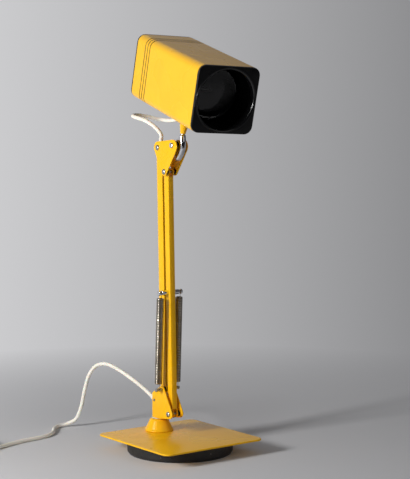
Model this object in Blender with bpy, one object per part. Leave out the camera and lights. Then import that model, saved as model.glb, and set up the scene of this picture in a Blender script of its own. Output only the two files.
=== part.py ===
"""Tabletop searchlight lamp with a spring-balanced double arm, in metres, +Z up.

The origin is the middle of the base's underside and +X is the lamp's forward direction.
The lamp is a swivelling mast bracket, a parallelogram of two channel arms pulled back by
two tension springs, a top bracket that stays level, and a box-shaped shade that tilts on
a knuckle and turns on a hollow stem.
"""

import math

import bmesh
import bpy
from mathutils import Matrix, Vector

# Clearances and the fineness of round shapes
SEAT_GAP = 0.0003
PIN_CLEARANCE = 0.0003
CUT_OVERRUN = 0.004
ROUND_STEPS = 16
FINE_STEPS = 32
PIN_STEPS = 12
ARC_STEP = math.radians(22.5)
CORNER_STEPS = 4

# Base: a square plate on a round iron weight
PAD_THICKNESS = 0.0018
PAD_INSET = 0.0020
WEIGHT_RADIUS = 0.0793
WEIGHT_EDGE_ROUND = 0.0022
WEIGHT_HEIGHT = 0.0179
PLATE_SIDE = 0.180
PLATE_THICKNESS = 0.0028
PLATE_CORNER_RADIUS = 0.012
PLATE_EDGE_ROUND = 0.0007

# Mast: socket, washer and folded bracket, behind the middle of the base
MAST_BACK = 0.0541
SOCKET_FOOT_RADIUS = 0.0218
SOCKET_FOOT_LIP = 0.0016
SOCKET_TOP_RADIUS = 0.0140
SOCKET_HEIGHT = 0.0184
SOCKET_TOP_ROUND = 0.0012
SOCKET_BOLT_RADIUS = 0.0040
SOCKET_BOLT_HEAD_RADIUS = 0.0068
SOCKET_BOLT_HEAD_HEIGHT = 0.0052
SOCKET_BOLT_REACH = 0.0080
COUNTERBORE_CLEARANCE = 0.0012
SWIVEL_WASHER_RADIUS = 0.0110
SWIVEL_WASHER_THICKNESS = 0.0019
SWIVEL_PIN_RADIUS = 0.0035
SWIVEL_PIN_SEAT = 0.0060
SWIVEL_PIN_HEAD_RADIUS = 0.0062
SWIVEL_PIN_HEAD_HEIGHT = 0.0026

# Sheet brackets: two cheeks either side of the arms
CHEEK_OUTER = 0.0106
CHEEK_THICKNESS = 0.0016
FLOOR_THICKNESS = 0.0020
CHEEK_REAR_INSET = 0.0030
CHEEK_REAR_HEIGHT = 0.0357
CHEEK_REAR_ROUND = 0.0030
CHEEK_FOOT_ROUND = 0.0006
CHEEK_FLOOR_REACH = 0.0140
CHEEK_REAR_PIVOT_ROUND = 0.0057
CHEEK_NOSE_ROUND = 0.0072
CHEEK_NOSE_FORWARD = 0.0026
CHEEK_NOSE_RISE = 0.0008

# Parallelogram: front pivots, the short link to the rear pivots, and the long arms
FRONT_PIVOT_FORWARD = 0.0384
FRONT_PIVOT_HEIGHT = 0.0100
LINK_BACK = 0.0166
LINK_RISE = 0.0356
ARM_LENGTH = 0.3648
ARM_LEAN = math.radians(-1.49)
FRONT_ARM_DEPTH = 0.0110
REAR_ARM_DEPTH = 0.0134
ARM_WIDTH = 0.0090
ARM_WALL = 0.0012
ARM_SET_BACK = 0.0030
ARM_END_REACH = 0.0050
ARM_END_ROUND = 0.0020
ARM_EAR_RADIUS = 0.0048
ARM_EAR_BLEND = 0.0090
ARM_WEB_START = 0.0075
PIVOT_RADIUS = 0.0020
RIVET_HEAD_RADIUS = 0.0042
RIVET_HEAD_HEIGHT = 0.0018
BUSH_RADIUS = 0.0042

# Springs either side of the arms, hooked between the rear pin and a pin in the front arm
SPRING_Y = 0.0172
SPRING_OUTER_RADIUS = 0.0058
SPRING_WIRE_RADIUS = 0.0011
SPRING_LOWER_LEAD = 0.0092
SPRING_UPPER_LEAD = 0.0078
SPRING_CURLS = 19
SPRING_POINTS_PER_CURL = 8
SPRING_EYE_STEPS = 10
HOOK_PIN_RADIUS = 0.0026
HOOK_GROOVE_RADIUS = 0.0019
HOOK_GROOVE_WIDTH = 0.0034
HOOK_PIN_END = 0.0028
CROSS_PIN_SHARE = 0.5034
CROSS_PIN_BACK = 0.0052
CROSS_PIN_RADIUS = 0.0022
CROSS_PIN_SPOOL_RADIUS = 0.0038

# Top bracket cheeks
TOP_REAR_ROUND = 0.0090
TOP_FRONT_ROUND = 0.0062
TOP_NOSE_ROUND = 0.0103
TOP_NOSE_FORWARD = 0.0020
TOP_NOSE_DROP = 0.0019
TILT_FORWARD = 0.0196
TILT_RISE = 0.0399

# Tilt screw, knuckle and hollow stem
TILT_SCREW_RADIUS = 0.0025
TILT_SCREW_HEAD_RADIUS = 0.0042
TILT_SCREW_HEAD_HEIGHT = 0.0024
TILT_NUT_RADIUS = 0.0052
TILT_NUT_HEIGHT = 0.0034
TILT_BUSH_RADIUS = 0.0056
KNUCKLE_WIDTH = 0.0095
KNUCKLE_WALL = 0.0013
KNUCKLE_PIVOT_ROUND = 0.0060
KNUCKLE_NECK_ROUND = 0.0044
KNUCKLE_NECK_DROP = 0.0044
KNUCKLE_BULGE_ROUND = 0.0066
KNUCKLE_BULGE_FORWARD = 0.0112
KNUCKLE_TAIL_ROUND = 0.0052
KNUCKLE_TAIL_FORWARD = 0.0065
KNUCKLE_TAIL_DROP = 0.0168
KNUCKLE_ROOF = 0.0080
STEM_FORWARD = 0.0093
STEM_RISE = 0.0203
STEM_RADIUS = 0.0030
STEM_BORE_RADIUS = 0.0019
STEM_HEAD_RADIUS = 0.0036
STEM_HEAD_HEIGHT = 0.0018
STEM_THREAD_REACH = 0.0095
STEM_NUT_RADIUS = 0.0062
STEM_NUT_HEIGHT = 0.0040
HEAD_PITCH = math.radians(13.44)
HEAD_YAW = math.radians(-10.79)

# Shade: a box-shaped shell with grooves, a bezel in front and a cover behind
SHELL_LENGTH = 0.2090
SHELL_WIDTH = 0.0958
SHELL_HEIGHT = 0.0963
SHELL_WALL = 0.0010
SHELL_CORNER_RADIUS = 0.0120
SHELL_ABOVE_STEM = 0.0301
STEM_BEHIND_MIDDLE = 0.0099
GROOVE_FIRST = 0.0290
GROOVE_PITCH = 0.0080
GROOVE_WIDTH = 0.0020
GROOVE_DEPTH = 0.0005
GROOVE_COUNT = 3
FERRULE_FOOT_RADIUS = 0.0040
FERRULE_WAIST_RADIUS = 0.0067
FERRULE_WAIST_HEIGHT = 0.0150
FERRULE_TOP_RADIUS = 0.0085
BEZEL_THICKNESS = 0.0040
BEZEL_EDGE_ROUND = 0.0010
BEZEL_RIM_DEPTH = 0.0090
BEZEL_RIM_WALL = 0.0016
BEZEL_APERTURE_RADIUS = 0.0425
BEZEL_LIP_WIDTH = 0.0030
BEZEL_LIP_HEIGHT = 0.0010
BEZEL_STEPS = 40
COVER_THICKNESS = 0.0016
COVER_RIM_DEPTH = 0.0070
COVER_RIM_WALL = 0.0014
COVER_EDGE_ROUND = 0.0006
VENT_LENGTH = 0.0300
VENT_WIDTH = 0.0030
VENT_PITCH = 0.0075
VENT_COUNT = 3
VENT_FROM_MIDDLE = 0.0190
SWITCH_RADIUS = 0.0060
SWITCH_OUTSIDE = 0.0065
SWITCH_INSIDE = 0.0060
SWITCH_COLLAR_RADIUS = 0.0078
SWITCH_COLLAR_THICKNESS = 0.0016
SWITCH_DROP = 0.0250
SWITCH_BODY_RADIUS = 0.0105
SWITCH_BODY_DEPTH = 0.0160
SWITCH_BODY_WALL = 0.0016

# Lamp holder and reflector bulb on the shade's long axis
BULB_RADIUS = 0.0400
BULB_FRONT_SHARE = 0.6446
BULB_RIM_DEPTH = 0.0100
BULB_BOWL_DEPTH = 0.0380
BULB_NECK_RADIUS = 0.0160
BULB_NECK_DEPTH = 0.0580
BULB_CAP_RADIUS = 0.0132
BULB_GLASS_LENGTH = 0.0880
BULB_CAP_LENGTH = 0.0240
BULB_DOME_RISE = 0.0040
HOLDER_RADIUS = 0.0195
HOLDER_WALL = 0.0028
HOLDER_LENGTH = 0.0440
HOLDER_OVER_CAP = 0.0210
HOLDER_END_ROUND = 0.0040
STRIP_WIDTH = 0.0240
STRIP_THICKNESS = 0.0016
STRIP_HOLDER_SHARE = 0.4
STRIP_COLLAR_WIDTH = 0.0040
STRIP_COLLAR_RIDGE = 0.0007
STRIP_WINDOW_HEIGHT = 0.0450

# Cords: the same round lead throughout
CORD_DIAMETER = 0.0060
CORD_FLOOR_GAP = 0.0002
CORD_POINT_SPACING = 0.0150
GROMMET_RADIUS = 0.0062
GROMMET_FLANGE_RADIUS = 0.0080
GROMMET_FLANGE_THICKNESS = 0.0014
GROMMET_DROP = 0.0042
GROMMET_RISE = 0.0022
GROMMET_BEHIND_STEM = 0.0250
LEAD_SET_BACK = 0.0053
LEAD_END_REACH = 0.0040
LEAD_TOP_DROP = 0.0073
LEAD_SWING_GAP = 0.0008
CLAMP_LENGTH = 0.0060
CLAMP_HEIGHT = 0.0168
CLAMP_SCREW_RADIUS = 0.0013
CLAMP_SCREW_HEAD_RADIUS = 0.0021
CLAMP_SCREW_HEAD_HEIGHT = 0.0008
CLAMP_SCREW_OFFSET = 0.0064
BOOT_BACK = 0.0187
BOOT_HEIGHT = 0.0283
BOOT_SLOPE = math.radians(22.0)
BOOT_LENGTH = 0.0240
BOOT_INNER_REACH = 0.0045
BOOT_NECK_RADIUS = 0.0044
BOOT_END_RADIUS = 0.0034
BOOT_COLLAR_RADIUS = 0.0058
BOOT_COLLAR_THICKNESS = 0.0012

# Coil of the cord's put-away length
COIL_TURNS = 5.97
COIL_POINTS_PER_TURN = 24
COIL_MEAN_RADIUS = 0.0345
COIL_STRAND_GAP = 0.0007
COIL_RUN_IN = 0.0060
COIL_TAIL = 0.0420
COIL_TAIL_LEVEL = 0.0200
CLIMB_SHARE = 0.5
COIL_LIFT = 0.0011
TIE_WIDTH = 0.0070
TIE_WALL = 0.0006
TIE_GAP = 0.0003
TIE_ANGLE = math.radians(-100.0)

# Two-pin plug lying beside the coil
PLUG_LENGTH = 0.0360
PLUG_WIDTH = 0.0300
PLUG_THICKNESS = 0.0136
PLUG_TAIL_RADIUS = 0.0048
PLUG_PIN_RADIUS = 0.0020
PLUG_PIN_LENGTH = 0.0190
PLUG_PIN_SPACING = 0.0186

# Route of the mains cord from the strain relief to the coil, chosen by hand
MAINS_ROUTE = [
    (-0.0860, 0.0000, 0.0779),
    (-0.1100, -0.0020, 0.0880),
    (-0.1500, -0.0070, 0.1020),
    (-0.1800, -0.0120, 0.1085),
    (-0.2000, -0.0180, 0.1040),
    (-0.2130, -0.0235, 0.0880),
    (-0.2215, -0.0270, 0.0620),
    (-0.2290, -0.0290, 0.0340),
    (-0.2390, -0.0330, 0.0130),
    (-0.2500, -0.0440, 0.0045),
    (-0.2500, -0.0600, 0.0032),
    (-0.2360, -0.0760, 0.0032),
    (-0.2160, -0.0900, 0.0032),
    (-0.2010, -0.1090, 0.0032),
    (-0.1950, -0.1320, 0.0032),
    (-0.1910, -0.1600, 0.0032),
    (-0.1840, -0.1850, 0.0032),
]
MAINS_CROSSING = (-0.1759, -0.2085, 0.0032)
MAINS_RUN_PAST_CROSSING = 0.0330

# Route of the head cord's loop from the grommet to the rear arm, chosen by hand
HEAD_ROUTE_OUT = [
    (-0.0170, 0.0070, 0.4968),
    (-0.0310, 0.0100, 0.4950),
    (-0.0500, 0.0140, 0.4945),
    (-0.0720, 0.0175, 0.4952),
    (-0.0900, 0.0182, 0.4968),
    (-0.1035, 0.0135, 0.4998),
]
HEAD_ROUTE_TURN = (-0.1095, 0.0010, 0.5018)
HEAD_ROUTE_BACK = [
    (-0.1040, -0.0115, 0.5012),
    (-0.0915, -0.0160, 0.4992),
    (-0.0705, -0.0140, 0.4950),
    (-0.0574, -0.0100, 0.4888),
    (-0.0484, -0.0050, 0.4806),
    (-0.0449, -0.0012, 0.4725),
]
HEAD_SPLIT_BEHIND = 0.0040

# Worked out from the sizes above
CHEEK_INNER = CHEEK_OUTER - CHEEK_THICKNESS
PAD_TOP = PAD_THICKNESS
WEIGHT_BOTTOM = PAD_TOP + SEAT_GAP
WEIGHT_TOP = WEIGHT_BOTTOM + WEIGHT_HEIGHT
PLATE_BOTTOM = WEIGHT_TOP + SEAT_GAP
PLATE_TOP = PLATE_BOTTOM + PLATE_THICKNESS
SOCKET_BOTTOM = PLATE_TOP + SEAT_GAP
SOCKET_TOP = SOCKET_BOTTOM + SOCKET_HEIGHT
WASHER_BOTTOM = SOCKET_TOP + SEAT_GAP
WASHER_TOP = WASHER_BOTTOM + SWIVEL_WASHER_THICKNESS
BRACKET_BOTTOM = WASHER_TOP + SEAT_GAP
FLOOR_TOP = BRACKET_BOTTOM + FLOOR_THICKNESS
ARM_FRONT = FRONT_ARM_DEPTH / 2 - ARM_SET_BACK
ARM_HALF_WIDTH = ARM_WIDTH / 2
HALF_KNUCKLE = KNUCKLE_WIDTH / 2
SHELL_MIDDLE_HEIGHT = SHELL_ABOVE_STEM + SHELL_HEIGHT / 2
SHELL_REAR = STEM_BEHIND_MIDDLE - SHELL_LENGTH / 2
SHELL_FRONT = SHELL_REAR + SHELL_LENGTH
LAMP_LENGTH = BULB_GLASS_LENGTH + SEAT_GAP + BULB_CAP_LENGTH + HOLDER_LENGTH - HOLDER_OVER_CAP - HOLDER_WALL
BULB_FACE_BACK = (SHELL_LENGTH - SWITCH_BODY_DEPTH - LAMP_LENGTH) * BULB_FRONT_SHARE
CORD_RADIUS = CORD_DIAMETER / 2
STRAND_PITCH = CORD_DIAMETER + COIL_STRAND_GAP

MAST_AT = Vector((-MAST_BACK, 0, 0))
FRONT_FOOT = MAST_AT + Vector((FRONT_PIVOT_FORWARD, 0, BRACKET_BOTTOM + FRONT_PIVOT_HEIGHT))
REAR_FOOT = FRONT_FOOT + Vector((-LINK_BACK, 0, LINK_RISE))
ARM_TURN = Matrix.Rotation(ARM_LEAN, 4, "Y")
ARM_VECTOR = ARM_TURN @ Vector((0, 0, ARM_LENGTH))
FRONT_TOP = FRONT_FOOT + ARM_VECTOR
REAR_TOP = REAR_FOOT + ARM_VECTOR
TILT_AT = FRONT_TOP + Vector((TILT_FORWARD, 0, TILT_RISE))
KNUCKLE_TURN = Matrix.Rotation(HEAD_PITCH, 4, "Y")
HEAD_AT = TILT_AT + KNUCKLE_TURN @ Vector((STEM_FORWARD, 0, STEM_RISE))
HEAD_TURN = KNUCKLE_TURN @ Matrix.Rotation(HEAD_YAW, 4, "Z")
CROSS_PIN_AT = FRONT_FOOT + ARM_TURN @ Vector((-CROSS_PIN_BACK, 0, ARM_LENGTH * CROSS_PIN_SHARE))
SPRING_LINE = CROSS_PIN_AT - REAR_FOOT
BOOT_TURN = Matrix.Rotation(BOOT_SLOPE, 4, "Y")
SPRING_TURN = Matrix.Rotation(math.atan2(SPRING_LINE.x, SPRING_LINE.z), 4, "Y")

MATERIALS = {
    "yellow_enamel": ((1.0, 0.65, 0.045), 0.32, 0.0),
    "cast_iron_paint": ((0.025, 0.024, 0.024), 0.6, 0.0),
    "chrome": ((0.8, 0.8, 0.82), 0.08, 1.0),
    "zinc_steel": ((0.6, 0.6, 0.6), 0.3, 1.0),
    "spring_steel": ((0.3, 0.29, 0.28), 0.35, 1.0),
    "pale_nylon": ((0.8, 0.78, 0.7), 0.5, 0.0),
    "ivory_pvc": ((0.83, 0.8, 0.68), 0.5, 0.0),
    "black_plastic": ((0.02, 0.02, 0.02), 0.4, 0.0),
    "porcelain": ((0.85, 0.84, 0.8), 0.25, 0.0),
    "frosted_glass": ((0.85, 0.85, 0.83), 0.3, 0.0),
    "brass": ((0.75, 0.55, 0.25), 0.3, 1.0),
    "felt": ((0.03, 0.03, 0.03), 0.95, 0.0),
}


def clear_scene():
    for thing in list(bpy.data.objects):
        bpy.data.objects.remove(thing, do_unlink=True)


def material(name):
    found = bpy.data.materials.get(name)
    if found:
        return found
    colour, roughness, metallic = MATERIALS[name]
    made = bpy.data.materials.new(name)
    made.use_nodes = True
    shader = made.node_tree.nodes["Principled BSDF"]
    shader.inputs["Base Color"].default_value = (*colour, 1.0)
    shader.inputs["Roughness"].default_value = roughness
    shader.inputs["Metallic"].default_value = metallic
    return made


def empty(name, at, turn=None):
    """A joint's frame: the pieces that move on it are its children."""
    frame = bpy.data.objects.new(name, None)
    bpy.context.collection.objects.link(frame)
    frame.matrix_world = Matrix.Translation(at) @ (turn or Matrix.Identity(4))
    return frame


def place(name, data, finish, frame=None, at=None, turn=None):
    piece = bpy.data.objects.new(name, data)
    bpy.context.collection.objects.link(piece)
    piece.parent = frame
    piece.matrix_local = Matrix.Translation(at or Vector()) @ (turn or Matrix.Identity(4))
    if finish:
        data.materials.append(material(finish))
    return piece


def finish_mesh(bm, sharp_angle=math.radians(35)):
    bmesh.ops.recalc_face_normals(bm, faces=bm.faces)
    mesh = bpy.data.meshes.new("shape")
    bm.to_mesh(mesh)
    bm.free()
    mesh.shade_smooth()
    mesh.set_sharp_from_angle(angle=sharp_angle)
    return mesh


def skin(rings, closed=False):
    """Faces between rings of points; a ring of one point is a pole, open ends are capped."""
    bm = bmesh.new()
    loops = [[bm.verts.new(point) for point in ring] for ring in rings]
    pairs = list(zip(loops, loops[1:]))
    if closed:
        pairs.append((loops[-1], loops[0]))
    for low, high in pairs:
        count = max(len(low), len(high))
        for step in range(count):
            after = (step + 1) % count
            corners = [low[step % len(low)], low[after % len(low)]]
            corners += [high[after % len(high)], high[step % len(high)]]
            bm.faces.new(list(dict.fromkeys(corners)))
    if not closed:
        for loop in (loops[0], loops[-1]):
            if len(loop) > 1:
                bm.faces.new(loop)
    return finish_mesh(bm)


def circle(radius, height, steps=ROUND_STEPS):
    if radius == 0:
        return [Vector((0, 0, height))]
    turns = [2 * math.pi * step / steps for step in range(steps)]
    return [Vector((radius * math.cos(turn), radius * math.sin(turn), height)) for turn in turns]


def turned(profile, steps=ROUND_STEPS, closed=False):
    """A piece turned about Z from (radius, height) points; closed is a ring with a bore."""
    return skin([circle(radius, height, steps) for radius, height in profile], closed)


def tube(outer, inner, low, high, steps=ROUND_STEPS):
    return turned([(outer, low), (outer, high), (inner, high), (inner, low)], steps, closed=True)


def belt(circles, step=ARC_STEP):
    """Outline of a belt round circles (x, y, radius), listed anticlockwise."""
    count = len(circles)
    normals = []
    for index, (x, y, radius) in enumerate(circles):
        next_x, next_y, next_radius = circles[(index + 1) % count]
        distance = math.hypot(next_x - x, next_y - y)
        heading = math.atan2(next_y - y, next_x - x)
        normals.append(heading - math.acos((radius - next_radius) / distance))
    points = []
    for index, (x, y, radius) in enumerate(circles):
        start = normals[index - 1]
        sweep = (normals[index] - start) % (2 * math.pi)
        parts = max(1, math.ceil(sweep / step))
        for part in range(parts + 1):
            angle = start + sweep * part / parts
            points.append((x + radius * math.cos(angle), y + radius * math.sin(angle)))
    return points


def rounded_rectangle(half_x, half_y, radius, step=math.radians(90) / CORNER_STEPS):
    inner_x, inner_y = half_x - radius, half_y - radius
    corners = [(inner_x, -inner_y), (inner_x, inner_y), (-inner_x, inner_y), (-inner_x, -inner_y)]
    return belt([(x, y, radius) for x, y in corners], step)


def plate(outline, low, high):
    """An outline in the XY plane, extruded along Z."""
    return skin([[Vector((x, y, height)) for x, y in outline] for height in (low, high)])


def side_plate(outline, low, high):
    """An outline in the XZ plane, extruded along Y."""
    return skin([[Vector((x, depth, z)) for x, z in outline] for depth in (low, high)])


def block(low, high):
    outline = [(low[0], low[1]), (high[0], low[1]), (high[0], high[1]), (low[0], high[1])]
    return plate(outline, low[2], high[2])


def cross_turned(profile, steps=PIN_STEPS, closed=False):
    """A piece turned about Y from (radius, y) points."""
    mesh = turned(profile, steps, closed)
    mesh.transform(Matrix.Rotation(math.radians(-90), 4, "X"))
    return mesh


def long_turned(profile, steps=ROUND_STEPS, closed=False):
    """A piece turned about X from (radius, x) points."""
    mesh = turned(profile, steps, closed)
    mesh.transform(Matrix.Rotation(math.radians(90), 4, "Y"))
    return mesh


def shape_with(piece, tool, operation):
    """Cut a tool out of a piece, or join it on, and keep the tool as a wire guide."""
    tool.hide_render = True
    tool.display_type = "WIRE"
    step = piece.modifiers.new(operation.title(), "BOOLEAN")
    step.operation = operation
    step.solver = "EXACT"
    step.object = tool


def cut(piece, mesh, frame=None, at=None, turn=None):
    name = f"{piece.name}_cutter_{len(piece.modifiers)}"
    shape_with(piece, place(name, mesh, None, frame, at, turn), "DIFFERENCE")


def join(piece, mesh, frame=None, at=None, turn=None):
    name = f"{piece.name}_addition_{len(piece.modifiers)}"
    shape_with(piece, place(name, mesh, None, frame, at, turn), "UNION")


def rod_profile(length_low, length_high, radius):
    return [(0, length_low), (radius, length_low), (radius, length_high), (0, length_high)]


def rivet_profile(half_grip, shank, head, height):
    """A shank with a domed head at each end."""
    end = half_grip + height
    dome = head - height / 2
    rise = height / 2
    side = [(0, -end), (dome, -end + rise / 2), (head, -half_grip), (shank, -half_grip)]
    return side + [(radius, -depth) for radius, depth in reversed(side)]


def resampled(points, spacing):
    """Points at even spacing along a smooth curve through the given points."""
    route = [Vector(point) for point in points]
    first, last = 2 * route[0] - route[1], 2 * route[-1] - route[-2]
    padded = [first] + route + [last]
    fine = []
    for index in range(1, len(padded) - 2):
        before, start, end, after = padded[index - 1:index + 3]
        span = (end - start).length
        slope_in = (end - before) * span / ((end - start).length + (start - before).length)
        slope_out = (after - start) * span / ((end - start).length + (after - end).length)
        parts = 12
        for part in range(parts):
            t = part / parts
            fine.append(
                start * (2 * t**3 - 3 * t**2 + 1) + slope_in * (t**3 - 2 * t**2 + t)
                + end * (3 * t**2 - 2 * t**3) + slope_out * (t**3 - t**2)
            )
    fine.append(route[-1])
    lengths = [0.0]
    for here, there in zip(fine, fine[1:]):
        lengths.append(lengths[-1] + (there - here).length)
    count = max(2, round(lengths[-1] / spacing))
    evened = []
    position = 0
    for step in range(count + 1):
        wanted = lengths[-1] * step / count
        while position < len(lengths) - 2 and lengths[position + 1] < wanted:
            position += 1
        share = (wanted - lengths[position]) / (lengths[position + 1] - lengths[position])
        evened.append(fine[position].lerp(fine[position + 1], min(1, share)))
    return evened


def square_ends(points, leaving, arriving):
    """Short straight ends, so that each end face is square to what it meets."""
    reach = CORD_RADIUS / 2
    after_start = points[0] + leaving.normalized() * reach
    before_end = points[-1] - arriving.normalized() * reach
    return [points[0], after_start] + points[1:-1] + [before_end, points[-1]]


def cord_curve(points, radius, resolution):
    curve = bpy.data.curves.new("run", "CURVE")
    curve.dimensions = "3D"
    curve.twist_mode = "MINIMUM"
    curve.bevel_depth = radius
    curve.bevel_resolution = resolution
    curve.use_fill_caps = True
    spline = curve.splines.new("POLY")
    spline.points.add(len(points) - 1)
    for point, place_at in zip(spline.points, points):
        point.co = (*place_at, 1)
    return curve


def hex_nut(name, finish, radius, low, height, bore, frame, at, turn=None):
    high = low + height
    nut = place(name, skin([circle(radius, low, 6), circle(radius, high, 6)]), finish, frame, at, turn)
    cut(nut, turned(rod_profile(low - CUT_OVERRUN, high + CUT_OVERRUN, bore)), frame, at, turn)


def make_base():
    pad_radius = WEIGHT_RADIUS - PAD_INSET
    place("felt_pad", turned(rod_profile(0, PAD_TOP, pad_radius), FINE_STEPS), "felt")
    edge = WEIGHT_EDGE_ROUND
    profile = [(0, WEIGHT_BOTTOM), (WEIGHT_RADIUS - edge, WEIGHT_BOTTOM)]
    profile += [(WEIGHT_RADIUS, WEIGHT_BOTTOM + edge), (WEIGHT_RADIUS, WEIGHT_TOP - edge)]
    profile += [(WEIGHT_RADIUS - edge, WEIGHT_TOP), (0, WEIGHT_TOP)]
    weight = place("base_weight", turned(profile, FINE_STEPS), "cast_iron_paint")
    bore = SOCKET_BOLT_RADIUS + PIN_CLEARANCE
    recess = SOCKET_BOLT_HEAD_RADIUS + COUNTERBORE_CLEARANCE
    recess_top = WEIGHT_BOTTOM + SOCKET_BOLT_HEAD_HEIGHT + 2 * SEAT_GAP
    cut(weight, turned(rod_profile(0, WEIGHT_TOP + CUT_OVERRUN, bore)), at=MAST_AT)
    cut(weight, turned(rod_profile(0, recess_top, recess)), at=MAST_AT)

    half, round_edge = PLATE_SIDE / 2, PLATE_EDGE_ROUND
    levels = [(round_edge, PLATE_BOTTOM), (0, PLATE_BOTTOM + round_edge)]
    levels += [(0, PLATE_TOP - round_edge), (round_edge, PLATE_TOP)]
    rings = []
    for inset, height in levels:
        outline = rounded_rectangle(half - inset, half - inset, PLATE_CORNER_RADIUS - inset)
        rings.append([Vector((x, y, height)) for x, y in outline])
    base_plate = place("base_plate", skin(rings), "yellow_enamel")
    cut(base_plate, turned(rod_profile(WEIGHT_TOP, PLATE_TOP + CUT_OVERRUN, bore)), at=MAST_AT)

    bolt_head_top = recess_top - SEAT_GAP
    bolt_end = SOCKET_BOTTOM + SOCKET_BOLT_REACH
    profile = [(0, WEIGHT_BOTTOM + SEAT_GAP), (SOCKET_BOLT_HEAD_RADIUS, WEIGHT_BOTTOM + SEAT_GAP)]
    profile += [(SOCKET_BOLT_HEAD_RADIUS, bolt_head_top), (SOCKET_BOLT_RADIUS, bolt_head_top)]
    profile += [(SOCKET_BOLT_RADIUS, bolt_end), (0, bolt_end)]
    place("socket_bolt", turned(profile), "zinc_steel", at=MAST_AT)

    lip, top_round = SOCKET_FOOT_LIP, SOCKET_TOP_ROUND
    bolt_hole = bolt_end + SEAT_GAP
    pin_hole = SOCKET_TOP - SWIVEL_PIN_SEAT - SEAT_GAP
    pin_bore = SWIVEL_PIN_RADIUS + PIN_CLEARANCE
    profile = [(bore, SOCKET_BOTTOM), (SOCKET_FOOT_RADIUS, SOCKET_BOTTOM)]
    profile += [(SOCKET_FOOT_RADIUS, SOCKET_BOTTOM + lip)]
    profile += [(SOCKET_FOOT_RADIUS - lip, SOCKET_BOTTOM + 2 * lip)]
    profile += [(SOCKET_TOP_RADIUS, SOCKET_TOP - top_round), (SOCKET_TOP_RADIUS - top_round, SOCKET_TOP)]
    profile += [(pin_bore, SOCKET_TOP), (pin_bore, pin_hole), (0, pin_hole)]
    profile = [(0, bolt_hole), (bore, bolt_hole)] + profile
    place("mast_socket", turned(profile, FINE_STEPS), "yellow_enamel", at=MAST_AT)


def cheek_holes(piece, frame, places, radius):
    for at in places:
        reach = CHEEK_OUTER + CUT_OVERRUN
        cut(piece, cross_turned(rod_profile(-reach, reach, radius)), frame, at)


def make_mast():
    """Pieces that swivel with the lower bracket, in the mast's frame."""
    frame = empty("mast_axis", MAST_AT)
    bore = SWIVEL_PIN_RADIUS + PIN_CLEARANCE
    washer = tube(SWIVEL_WASHER_RADIUS, bore, WASHER_BOTTOM, WASHER_TOP)
    place("swivel_washer", washer, "pale_nylon", frame)

    head_low = FLOOR_TOP + SEAT_GAP
    head_top = head_low + SWIVEL_PIN_HEAD_HEIGHT
    pin_low = SOCKET_TOP - SWIVEL_PIN_SEAT
    profile = [(0, pin_low), (SWIVEL_PIN_RADIUS, pin_low), (SWIVEL_PIN_RADIUS, head_low)]
    profile += [(SWIVEL_PIN_HEAD_RADIUS, head_low), (SWIVEL_PIN_HEAD_RADIUS, head_top), (0, head_top)]
    place("swivel_pin", turned(profile), "zinc_steel", frame)

    front = FRONT_FOOT - MAST_AT
    rear = REAR_FOOT - MAST_AT
    floor = BRACKET_BOTTOM
    circles = [
        (-CHEEK_REAR_INSET + CHEEK_FOOT_ROUND, floor + CHEEK_FOOT_ROUND, CHEEK_FOOT_ROUND),
        (CHEEK_FLOOR_REACH, floor + CHEEK_FOOT_ROUND, CHEEK_FOOT_ROUND),
        (front.x + CHEEK_NOSE_FORWARD, front.z + CHEEK_NOSE_RISE, CHEEK_NOSE_ROUND),
        (rear.x, rear.z, CHEEK_REAR_PIVOT_ROUND),
        (-CHEEK_REAR_INSET + CHEEK_REAR_ROUND, floor + CHEEK_REAR_HEIGHT, CHEEK_REAR_ROUND),
    ]
    outline = belt(circles)
    bracket = place("lower_bracket", side_plate(outline, -CHEEK_OUTER, CHEEK_OUTER), "yellow_enamel", frame)
    reach = CHEEK_OUTER + PLATE_SIDE / 2
    inside = block((-reach, -CHEEK_INNER, FLOOR_TOP), (reach, CHEEK_INNER, rear.z + CHEEK_OUTER))
    cut(bracket, inside, frame)
    join(bracket, turned(rod_profile(floor, FLOOR_TOP, CHEEK_OUTER)), frame)
    cut(bracket, turned(rod_profile(floor - CUT_OVERRUN, FLOOR_TOP + CUT_OVERRUN, bore)), frame)
    cheek_holes(bracket, frame, (front, rear), PIVOT_RADIUS + PIN_CLEARANCE)
    clamp = clamp_middle() - MAST_AT
    screw_at = clamp + BOOT_TURN @ Vector((0, 0, CLAMP_SCREW_OFFSET))
    cheek_holes(bracket, frame, [screw_at], CLAMP_SCREW_RADIUS + PIN_CLEARANCE)

    grip = CHEEK_OUTER + SEAT_GAP
    rivet = cross_turned(rivet_profile(grip, PIVOT_RADIUS, RIVET_HEAD_RADIUS, RIVET_HEAD_HEIGHT))
    place("lower_front_rivet", rivet, "zinc_steel", frame, front)
    place("lower_rear_pin", hook_pin(grip, PIVOT_RADIUS, HOOK_PIN_RADIUS), "zinc_steel", frame, rear)
    for label, pivot in (("front", front), ("rear", rear)):
        add_bushes(f"lower_{label}_bush", frame, pivot)
    make_clamp(frame, clamp, screw_at)


def clamp_middle():
    """Middle of the cord clamp, on the strain relief's axis at the bracket's rear edge."""
    slope = math.tan(BOOT_SLOPE)
    back = CHEEK_REAR_INSET - CLAMP_LENGTH / 2
    height = BRACKET_BOTTOM + BOOT_HEIGHT - (BOOT_BACK - back) * slope
    return MAST_AT + Vector((-back, 0, height))


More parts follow.
